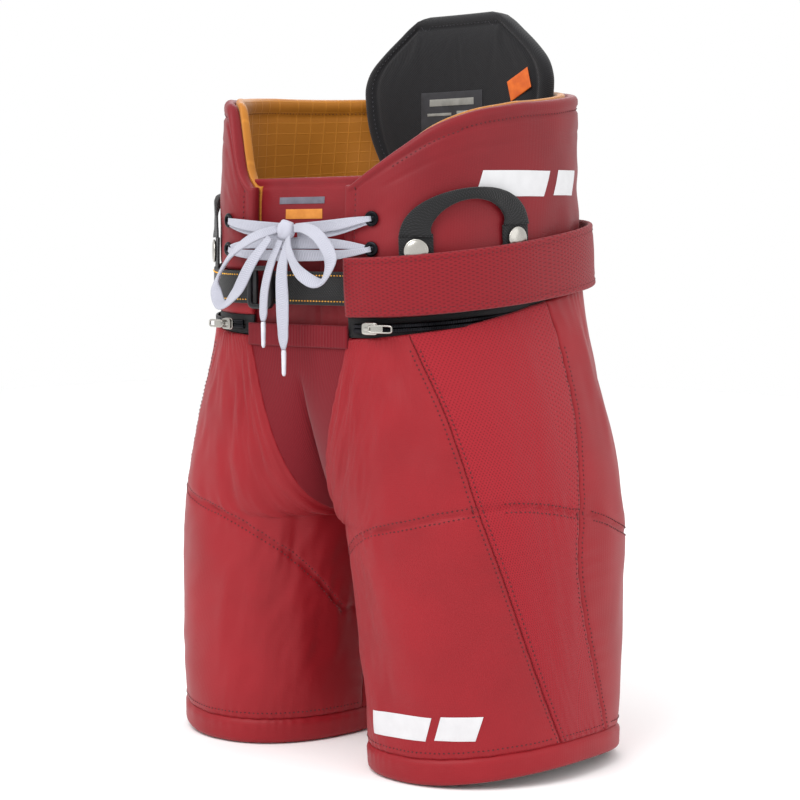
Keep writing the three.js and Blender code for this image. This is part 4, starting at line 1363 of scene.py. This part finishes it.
def lathe(profile, around=32):
    """Profile of (radius, height) turned about the second axis; it starts and ends at radius 0."""
    profile = np.asarray(profile, float)
    inner = profile[1:-1]
    angle = np.arange(around) / around * 2 * np.pi
    ring = np.stack([np.cos(angle), 0 * angle, np.sin(angle)], -1)
    points = inner[:, :1, None] * ring[None] + inner[:, 1, None, None] * np.array([0, 1, 0])
    ends = [[0, profile[0, 1], 0], [0, profile[-1, 1], 0]]
    return np.concatenate([points.reshape(-1, 3), ends]), ringed_faces(len(inner), around)


def placed(parts, origin, axes, side):
    """Moves each (points, faces) from its own axes to the garment, mirrored for side -1."""
    return [((points @ axes + origin) * (side, 1, 1), faces) for points, faces in parts]


# %% Eyelets
rolled = ring_section(2.6, 1.9, 10)
circle = np.linspace(0, 2 * np.pi, 32, endpoint=False)
ring_path = 3.7 * np.stack([np.cos(circle), 0 * circle, np.sin(circle)], -1)
roll = swept(ring_path, rolled, closed=True, up=(0, 1, 0))[:2]
well = lathe([(0, -0.7), (2.9, -0.7), (2.9, -0.2), (0, -0.2)], 24)
for word, side in SIDES:
    for row, z in (("upper", EYELET_UP), ("lower", EYELET_DOWN)):
        origin, axes = on_skin(float(turn_at(EYELET_X, z, -1)), z, -1.2)
        eyelet = joined_mesh(f"rolled_eyelet_{row}_{word}",
                             placed([roll, well], origin, axes, side), BLACK_METAL)
        finish_piece(eyelet, "girdle", "dark_metal", f"eyelet_{row}_{word}")
print("eyelets on the wings")

# %% Braces loops, their feet and rivets
LOOP_SPAN, LOOP_RISE, LOOP_TURN, LOOP_WIDE, LOOP_NARROW = 70, 28, 0.325, 22, 7.5
RIVET_RISE, BEND_RISE = 2, 11
FOOT_LONG, FOOT_THICK, FOOT_DROP, FOOT_OVERLAP, FOOT_INSET = 21, 1.6, 10, 1.2, -1.2
CAP = [(0, 0), (4, 0), (4, 1.6), (7.2, 1.7), (7.9, 2.2), (8, 2.8), (7.5, 3.3), (6.9, 3.2),
       (6.5, 3.3), (5.8, 3.7), (3, 3.9), (0, 3.95)]


for word, side in SIDES:
    a = np.pi * (1 - np.linspace(0, 1, 72))
    wide = LOOP_WIDE + (LOOP_NARROW - LOOP_WIDE) * np.sin(a)
    along = (LOOP_SPAN / 2 - wide / 2 * np.sin(a) ** 2) * np.cos(a)
    rise = np.maximum((LOOP_RISE - LOOP_NARROW / 2) * np.sin(a) ** 0.8, 0.3)
    turn = walk(LOOP_TURN, along, WAIST_Z)
    thick = 1.7 + 3.2 * np.sin(a) ** 3
    z = wrap_high(turn) + BEND_RISE + rise
    path = skin(turn, z, -1.2 - thick / 2)
    out = path - skin(turn, z, 3)
    ring = ring_section(1, 1, 20, 3.6)[None] * np.stack([wide, thick], -1)[:, None]
    ring[..., 1] += 0.05 * thick[:, None] * np.cos(ring[..., 0] * 4)
    points, faces, uvs = swept(path, ring, up=out)
    loop = make_mesh(f"webbing_loop_{word}", points * (side, 1, 1), faces, uvs, WEBBING)
    finish_piece(loop, f"{word}_braces_loop", "black_webbing", f"braces_loop_{word}")
    for end, way in (("front", -1), ("rear", 1)):
        foot_turn = float(walk(LOOP_TURN, way * LOOP_SPAN / 2, WAIST_Z))
        first, last = (float(walk(foot_turn, d * LOOP_WIDE / 2, WAIST_Z)) for d in (-1, 1))
        foot = sheet_piece(f"loop_foot_{end}_{word}",
                           panel(first, last, lambda t: wrap_high(t) - FOOT_DROP,
                                 lambda t: wrap_high(t) + BEND_RISE + FOOT_OVERLAP, FOOT_INSET),
                           (LOOP_WIDE, FOOT_LONG), FOOT_THICK, WEBBING, side, step=1.2)
        finish_piece(foot, "girdle", "black_webbing")
        origin, axes = on_skin(foot_turn, float(wrap_high(foot_turn)) + RIVET_RISE, -0.5)
        cap = joined_mesh(f"rivet_cap_{end}_{word}", placed([lathe(CAP)], origin, axes, side),
                          NICKEL)
        finish_piece(cap, "girdle", "silver_metal", f"loop_rivet_{end}_{word}")
print("braces loops stand", round(float(z.max()), 1), "mm high")


# %% Shell zips
def zip_middle(turn):
    return (zip_low(turn) + zip_high(turn)) / 2


def bricks(name, origins, axes, size, finish):
    """Many small blocks at once: each is a box whose outer end is a little narrower."""
    corners = np.array([[x, y, z] for z in (-1, 1) for y in (-1, 1) for x in (-1, 1)], float)
    corners[:, [0, 2]] *= np.where(corners[:, 1:2] > 0, 0.7, 1.0)
    local = corners * np.asarray(size) / 2
    points = origins[:, None] + np.einsum("kc,ncd->nkd", local, axes)
    faces = np.array([[0, 2, 3, 1], [4, 5, 7, 6], [0, 1, 5, 4], [2, 6, 7, 3], [0, 4, 6, 2],
                      [1, 3, 7, 5]])
    every = (np.arange(len(origins))[:, None, None] * 8 + faces[None]).reshape(-1, 4)
    return make_mesh(name, points.reshape(-1, 3), every, None, finish)


ZIP_START_X, ZIP_END_TURN, SLIDER_LONG, PULL_OUT = 60, 0.52, 11, 5.1
TAPE_END, TAPE_RISE, TAPE_INSET, TAPE_LONG, TAPE_THICK = 1.97, 0.2, 3.4, 330, 1.4
TOOTH_TURN, TOOTH_SIZE, TOOTH_OUT = 0.0042, (0.95, 1.6, 3.2), 1.5
zip_start = float(turn_at(ZIP_START_X, HIP_Z, -1))
for word, side in SIDES:
    tape = sheet_piece(f"zip_cloth_{word}",
                       panel(FLY_TURN, TAPE_END, lambda t: zip_low(t) + TAPE_RISE,
                             lambda t: zip_high(t) + TAPE_RISE, TAPE_INSET),
                       (TAPE_LONG, ZIP_HIGH), TAPE_THICK, TAPE, side, step=2.0)
    finish_piece(tape, "girdle", "black_fabric", f"zip_tape_{word}")
    turns = np.arange(zip_start - 0.03, ZIP_END_TURN - 0.01, TOOTH_TURN)
    for row, shift in (("upper", TOOTH_OUT), ("lower", -TOOTH_OUT)):
        t = turns + (TOOTH_TURN / 2 if row == "upper" else 0)
        deep = 0.3 + 3.2 * np.clip((t - 0.26) / 0.14, 0, 1)     # behind the leg's top edge
        here, ahead = skin(t, zip_middle(t), deep), skin(t + 0.004, zip_middle(t + 0.004), deep)
        rear = unit(ahead - here)
        up = unit(np.array([0, 0, 1.0]) - rear * rear[:, 2:])
        frames = np.stack([rear, np.cross(up, rear) * -1, up], 1)
        origin = here + up * shift
        flip = np.array([side, 1, 1])
        teeth = bricks(f"zip_teeth_{row}_{word}", origin * flip, frames * flip, TOOTH_SIZE,
                       BLACK_METAL)
        stands_for = [f"zip_coil_{word}"] if row == "upper" else []
        finish_piece(teeth, "girdle", "dark_metal", *stands_for)
    slider_turn = float(walk(zip_start, SLIDER_LONG / 2 + 1, HIP_Z))
    z = float(zip_middle(slider_turn))
    origin, axes = on_skin(slider_turn, z, -1.0)
    parts = [rounded_block((0, 0.9, 0), (SLIDER_LONG, 1.5, 8), 5),
             rounded_block((0, 2.7, 0), (10.4, 1.2, 7.4), 5),
             rounded_block((-2.4, 1.8, 0), (4.6, 2.2, 3), 5)]
    bridge = np.stack([np.linspace(-4, 4, 16), 2.7 + 0.8 * np.sin(np.linspace(0, np.pi, 16)),
                       np.zeros(16)], -1)
    parts.append(swept(bridge, ring_section(2.6, 0.9, 10, 3.0), up=(0, 1, 0))[:2])
    slider = joined_mesh(f"slider_body_{word}", placed(parts, origin, axes, side), NICKEL)
    finish_piece(slider, f"{word}_zip_slider", "silver_metal", f"zip_slider_{word}")
    rim_path = np.stack([9.6 + 8.4 * bent(np.cos(circle), 0.35), PULL_OUT + 0 * circle,
                         2.2 * bent(np.sin(circle), 0.35)], -1)
    pull_parts = [swept(rim_path, ring_section(1.3, 1.3, 8), closed=True, up=(0, 1, 0))[:2],
                  rounded_block((7.1, PULL_OUT, 0), (9, 0.9, 4.2), 6)]
    pull = joined_mesh(f"pull_tab_{word}", placed(pull_parts, origin, axes, side), NICKEL)
    finish_piece(pull, f"{word}_zip_pull", "silver_metal", f"zip_pull_{word}")
print("zips:", len(turns), "teeth a row")

# %% [markdown]
# ## Spine pad
# A foam board in black knit stands inside the back of the wings and tilts towards the wearer. It
# is eight-sided, with a sewn channel near its edge. A woven label and an orange tag are sewn to the
# side the wearer's back meets. The label is plain, with blocks of colour in place of words.

# %% Pad outline
PAD_LOW_Z, PAD_TOP_Z = 374, 511
PAD_WIDE, PAD_FOOT, PAD_THICK, CHANNEL_IN = 174, 118, 13, 9
PAD_FLAT, PAD_SKIN = (150, PAD_TOP_Z - PAD_LOW_Z), 2.4
pad_box = [np.array(c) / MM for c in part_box("spine_pad")]
pad_sag = pad_box[1][1] - pad_box[0][1] - PAD_THICK
pad_half = smooth_line([(PAD_LOW_Z, PAD_FOOT / 2), (400, 71), (428, 83), (448, 86.5), (464, 86.5),
                        (474, 82), (486, 70), (497, 56), (505, 45), (509, 37), (PAD_TOP_Z, 28)])


def pad_place(x, z, depth):
    """On the pad: y falls off with x squared, and depth is measured forwards from its back."""
    y = pad_box[1][1] - pad_sag * (x / (PAD_WIDE / 2)) ** 2 - depth
    return np.stack([x, y, z], -1)


def pad_edge(x, z):
    """About the distance in mm to the outline."""
    side_way = (pad_half(z) - np.abs(x)) * 0.8
    return np.minimum(np.minimum(side_way, PAD_TOP_Z - z), z - PAD_LOW_Z)


def pad_sheet(u, v):
    z = PAD_LOW_Z + (PAD_TOP_Z - PAD_LOW_Z) * v
    return pad_place((u * 2 - 1) * (pad_half(z) - 0.4), z, PAD_THICK / 2)


def pad_relief(u, v):
    place = pad_sheet(u, v)
    edge = pad_edge(place[..., 0], place[..., 2])
    inside = edge - CHANNEL_IN
    return groove(inside, 1.7, 1.8) + 0.5 * (inside > 0) * (1 - np.exp(-inside / 10))


spine = sheet_piece("spine_pad_cover", pad_sheet, PAD_FLAT, PAD_THICK - PAD_SKIN, PAD_CLOTH,
                    step=1.8, rim=5.0, outer=pad_relief, inner=pad_relief)
spot = pad_sheet(*(places[spine.name] / PAD_FLAT).T)
edge = pad_edge(spot[:, 0], spot[:, 2])
inflate(spine, (np.abs(edge - CHANNEL_IN) < 1.2) | (edge < 0.8), 3.0, 1.1)
finish_piece(spine, "spine_board", "black_fabric", "spine_pad")
print("spine pad stands", round(float(pad_box[1][2]), 1), "mm")


# %% Label and tag
LABEL_UP, BLOCK_UP = PAD_THICK + 0.3, PAD_THICK + 0.8


def pad_patch(name, x0, x1, z0, z1, depth, thick, finish, *nodes):
    """A flat oblong on the front of the pad."""
    def middle(u, v):
        return pad_place(x0 + (x1 - x0) * u, z0 + (z1 - z0) * v, depth)
    patch = sheet_piece(name, middle, (x1 - x0, z1 - z0), thick, finish, step=3)
    finish_piece(patch, "spine_board", "black_fabric", *nodes)


pad_patch("woven_label", -33, 24, 412, 456, LABEL_UP, 0.8, LABEL, "spine_label")
blocks = [(-25, 16, 446, 451), (-27, -5, 439, 441), (0, 20, 436, 442), (-25, -21, 420, 431),
          (-14, -10, 420, 431), (-3, 1, 420, 431), (8, 12, 420, 431)]
for number, block in enumerate(blocks):
    pad_patch(f"label_block_{number}", *block, BLOCK_UP, 0.3, PRINT)


def tag_sheet(u, v):
    """A tilted patch at the pad's left shoulder: it climbs 9 mm over its 20 mm of width."""
    return pad_place(52 + 20 * u - 4 * v, 446 + 9 * u + 14 * v, LABEL_UP)


tag = sheet_piece("orange_patch", tag_sheet, (22, 15), 0.9, TAG, step=2)
finish_piece(tag, "spine_board", "orange_tag", "spine_tag")
print("label blocks", len(blocks))

# %% [markdown]
# ## Inside the garment
# Under the cloth each thigh has a plastic guard on a foam pad and a mesh lining, and the girdle has
# foam over the hips and the tailbone. They show from below and through the waist.

# %% Thigh guards, foam and linings
# (first turn, last turn, low and high z, inset, width, thickness)
GUARD_PLATE = (-0.55, 0.85, 36, 135, 9.5, 330, 2.4)
THIGH_FOAM = (-0.6, 0.9, 31, 140, 14.5, 330, 5.6)
MESH_INSET, MESH_ROUND, MESH_THICK = 19.4, 430, 1.8


def thigh_sheet(name, plan, word, side, finish, slot, node, **relief_and_rim):
    start, stop, low, high, inset, wide, thick = plan
    piece = sheet_piece(name, panel(start, stop, low, high, inset), (wide, high - low), thick,
                        finish, side, step=4, **relief_and_rim)
    return finish_piece(piece, f"{word}_leg", slot, node, blend=bend(side))


for word, side in SIDES:
    thigh_sheet(f"thigh_plate_{word}", GUARD_PLATE, word, side, GUARD, "guard_plastic",
                f"thigh_guard_{word}",
                outer=lambda u, v: 0.6 * np.cos(u * 24) * np.sin(np.pi * v) - 0.4)
    foam = thigh_sheet(f"thigh_pad_{word}", THIGH_FOAM, word, side, FOAM, "pad_foam",
                       f"thigh_foam_{word}", rim=2.4,
                       inner=lambda u, v: 0.5 * np.cos(u * 40) * np.cos(v * 14))
    lining = sheet_piece(f"mesh_lining_{word}", whole_leg(HEM_HEIGHT, THIGH_TOP, MESH_INSET),
                         (MESH_ROUND, THIGH_TOP - HEM_HEIGHT), MESH_THICK, LINING, side, step=4,
                         wrap=True, inner=lambda u, _: 0.5 * np.cos(u * 60))
    finish_piece(lining, f"{word}_leg", "black_fabric", f"leg_lining_{word}", blend=bend(side))


# %% Hip and tailbone pads
def block_cuts(u, _):
    """Upright cuts 1.2 mm deep that part a foam into blocks."""
    return -1.2 * np.exp(-(np.abs(np.sin(3 * np.pi * u)) / 0.25) ** 2)


def thick_foam(name, middle, size, node, side=1, **relief):
    foam = sheet_piece(name, middle, size, 10.4, FOAM, side, step=3, rim=4, **relief)
    finish_piece(foam, "girdle", "pad_foam", node)


for word, side in SIDES:
    thick_foam(f"hip_foam_{word}", panel(0.34, 0.72, 213, lambda t: wing_low(t) - 23, 13.8),
               (100, 95), f"hip_pad_{word}", side, inner=block_cuts)
TAIL_LOW, TAIL_TOP, TAIL_HALF, TAIL_INSET = 237, 327, 47, 13.6
thick_foam("tailbone_foam", across(TAIL_HALF, TAIL_LOW, TAIL_TOP, TAIL_INSET, sign=1),
           (2 * TAIL_HALF, TAIL_TOP - TAIL_LOW), "tailbone_pad", outer=block_cuts)
print("inner pads done")

# %% [markdown]
# ## Seam stitches
# Every seam is a row of short threads sunk in its valley: crimson on the shell, brown on the gold
# roll, charcoal on the pad. Each row is laid on its own panel.

# %% Leg seams
def leg_row(name, kind, word, side, turn, z):
    path = skin(turn, z, -0.6) * (side, 1, 1)
    slot = "mesh_fabric" if kind == "hip_mesh_panel" else "red_nylon"
    stitches(name, path, RED_THREAD, f"{word}_leg", slot, legs[kind, word], pitch=3.2, length=2.3,
             thick=1.0, blend=bend(side))


SEAM_GAP, KNEE_GAP, HEM_ROW_UP = 3.2, 2.6, 4.5
for word, side in SIDES:
    z = np.linspace(HEM_HEIGHT + 8, 280, 160)
    for name, kind, seam, way in (("front_a", "front_panel", front_seam, -1),
                                  ("front_b", "hip_mesh_panel", front_seam, 1),
                                  ("rear_a", "hip_mesh_panel", rear_seam, -1),
                                  ("rear_b", "back_panel", rear_seam, 1)):
        leg_row(f"seam_{name}_{word}", kind, word, side, walk(seam(z), way * SEAM_GAP, z), z)
    for kind, first, last in (("front_panel", -0.85, 0.29), ("hip_mesh_panel", 0.31, 0.52),
                              ("back_panel", 0.54, 1.9)):
        turn = np.linspace(first, last, 160)
        leg_row(f"knee_{kind}_{word}", kind, word, side, turn, knee_line(turn) - KNEE_GAP)
        leg_row(f"knee_top_{kind}_{word}", kind, word, side, turn, knee_line(turn) + KNEE_GAP)
    for kind, first, last in (("front_panel", -0.98, 0.42), ("hip_mesh_panel", 0.46, 0.58),
                              ("back_panel", 0.62, 1.98)):
        turn = np.linspace(first, last, 160)
        leg_row(f"hem_row_{kind}_{word}", kind, word, side, turn, panel_low(turn) + HEM_ROW_UP)
print("leg rows sewn")

# %% Collar, wrap and pad rows
def girdle_row(name, path, side, finish, slot, surface, size, body="girdle"):
    """A row on a piece that doesn't bend; size is its stitches' (pitch, length, thickness)."""
    pitch, length, thick = size
    stitches(name, path * (side, 1, 1), finish, body, slot, surface, pitch, length, thick)


COLLAR_SIZE, LINING_SIZE, WRAP_SIZE, PAD_SIZE = ((3.4, 2.5, 0.9), (3.0, 2.2, 0.8), (3.0, 2.2, 0.6),
                                                 (3.2, 2.2, 0.7))
for word, side in SIDES:
    turn = np.linspace(0.13, 1.0, 150)
    collar = wing_top(turn, side)
    girdle_row(f"collar_row_{word}", skin(turn, collar - ROLL_SEAM, 0.5), side, RED_THREAD,
               "red_nylon", wings[word], COLLAR_SIZE)
    z = np.linspace(346, 384, 20)
    girdle_row(f"fly_row_{word}", skin(turn_at(WING_EDGE_X + ROLL_SEAM, z, -1), z, 0.5), side,
               RED_THREAD, "red_nylon", wings[word], COLLAR_SIZE)
    girdle_row(f"lining_row_{word}", skin(turn, collar - 10, LINING_INSET + 2.5), side,
               DARK_GOLD_THREAD, "gold_lining", linings[word], LINING_SIZE)
    for row, height in (("low", 0.1), ("high", 0.9)):
        u = np.linspace(0.01, 0.99, 120)
        face = panel(WRAPS[word][0], WRAP_STOP, wrap_low, wrap_high, WRAP_INSET - WRAP_THICK / 2)
        girdle_row(f"wrap_row_{row}_{word}", face(u, 0 * u + height), side, RED_THREAD,
                   "mesh_fabric", wraps[word], WRAP_SIZE)
z = np.linspace(PAD_LOW_Z + CHANNEL_IN, PAD_TOP_Z - CHANNEL_IN, 60)
for word, side in SIDES:
    girdle_row(f"pad_row_{word}", pad_place(pad_half(z) - 10.5, z, PAD_THICK), side, GREY_THREAD,
               "black_fabric", spine, PAD_SIZE, "spine_board")
x = np.linspace(-36, 36, 30)
girdle_row("pad_row_top", pad_place(x, 0 * x + PAD_TOP_Z - CHANNEL_IN, PAD_THICK), 1, GREY_THREAD,
           "black_fabric", spine, PAD_SIZE, "spine_board")
print("collar rows sewn")

# %% [markdown]
# ## Prints
# Screen prints are thin sheets draped on the cloth. They are plain bars: a long slanted one and a
# short one on the left wing and the left leg, and a slate and an orange one on the tongue.


# %% Draped bars
def draped(surface, middle, off):
    """Each place of a middle sheet moved to the nearest place of the surface, and off mm out."""
    seat = seat_on(surface)

    def moved(u, v):
        grid = middle(u, v)
        place, out = seat(grid.reshape(-1, 3))
        return (place + out * off).reshape(grid.shape)
    return moved


def slanted(turn_a, turn_b, z_a, z_b, lean):
    """A bar on the skin; lean slides its top edge along by that much turn."""
    def middle(u, v):
        z = z_a + (z_b - z_a) * v + 6 * np.abs(turn_b - turn_a) * u
        return skin(turn_a + (turn_b - turn_a) * u + lean * v, z, -0.8)
    return middle


PRINT_THICK, PRINT_UP = 0.3, 0.15


def printed(name, surface, middle, size, finish, body="girdle", step=2, blend=None):
    mark = sheet_piece(name, draped(surface, middle, PRINT_UP), size, PRINT_THICK, finish,
                       step=step)
    finish_piece(mark, body, "red_nylon", blend=blend)


for name, place, size in (("leg_bar_long", (-0.20, 0.085, 28, 44), (76, 16)),
                          ("leg_bar_short", (0.11, 0.215, 31, 47), (28, 16))):
    printed(name, legs["front_panel", "left"], slanted(*place, 0.02), size, WHITE_PRINT, "left_leg",
            blend=bend(1))
for name, place, size in (("wing_bar_long", (0.345, 0.53, 377, 394), (56, 17)),
                          ("wing_bar_short", (0.56, 0.66, 379, 396), (30, 17))):
    printed(name, wings["left"], slanted(*place, 0.02), size, WHITE_PRINT)
for name, x0, x1, z0, z1, finish in (("tongue_bar_slate", -25, 17, 373.5, 378, GREY_PRINT),
                                     ("tongue_bar_orange", -19, 15, 363.5, 370, ORANGE_PRINT)):
    def bar(u, v, x0=x0, x1=x1, z0=z0, z1=z1):
        return over_skin(x0 + (x1 - x0) * u, z0 + (z1 - z0) * v, 10)
    printed(name, tongue, bar, (x1 - x0, z1 - z0), finish, step=1.5)
print("prints laid")

# %% [markdown]
# ## Floor
# The floor is a plain pale plane that isn't part of the object.

# %% Floor
FLOOR_HALF = 3.0
floor_mesh = bpy.data.meshes.new("floor")
floor_mesh.from_pydata([(x * FLOOR_HALF, y * FLOOR_HALF, -0.0005)
                        for x, y in ((-1, -1), (1, -1), (1, 1), (-1, 1))], [], [(0, 1, 2, 3)])
floor = bpy.data.objects.new("floor", floor_mesh)
bpy.context.scene.collection.objects.link(floor)
pale, _ = new_material("paper_backdrop", "FDFDFD", 0.95)
floor_mesh.materials.append(pale)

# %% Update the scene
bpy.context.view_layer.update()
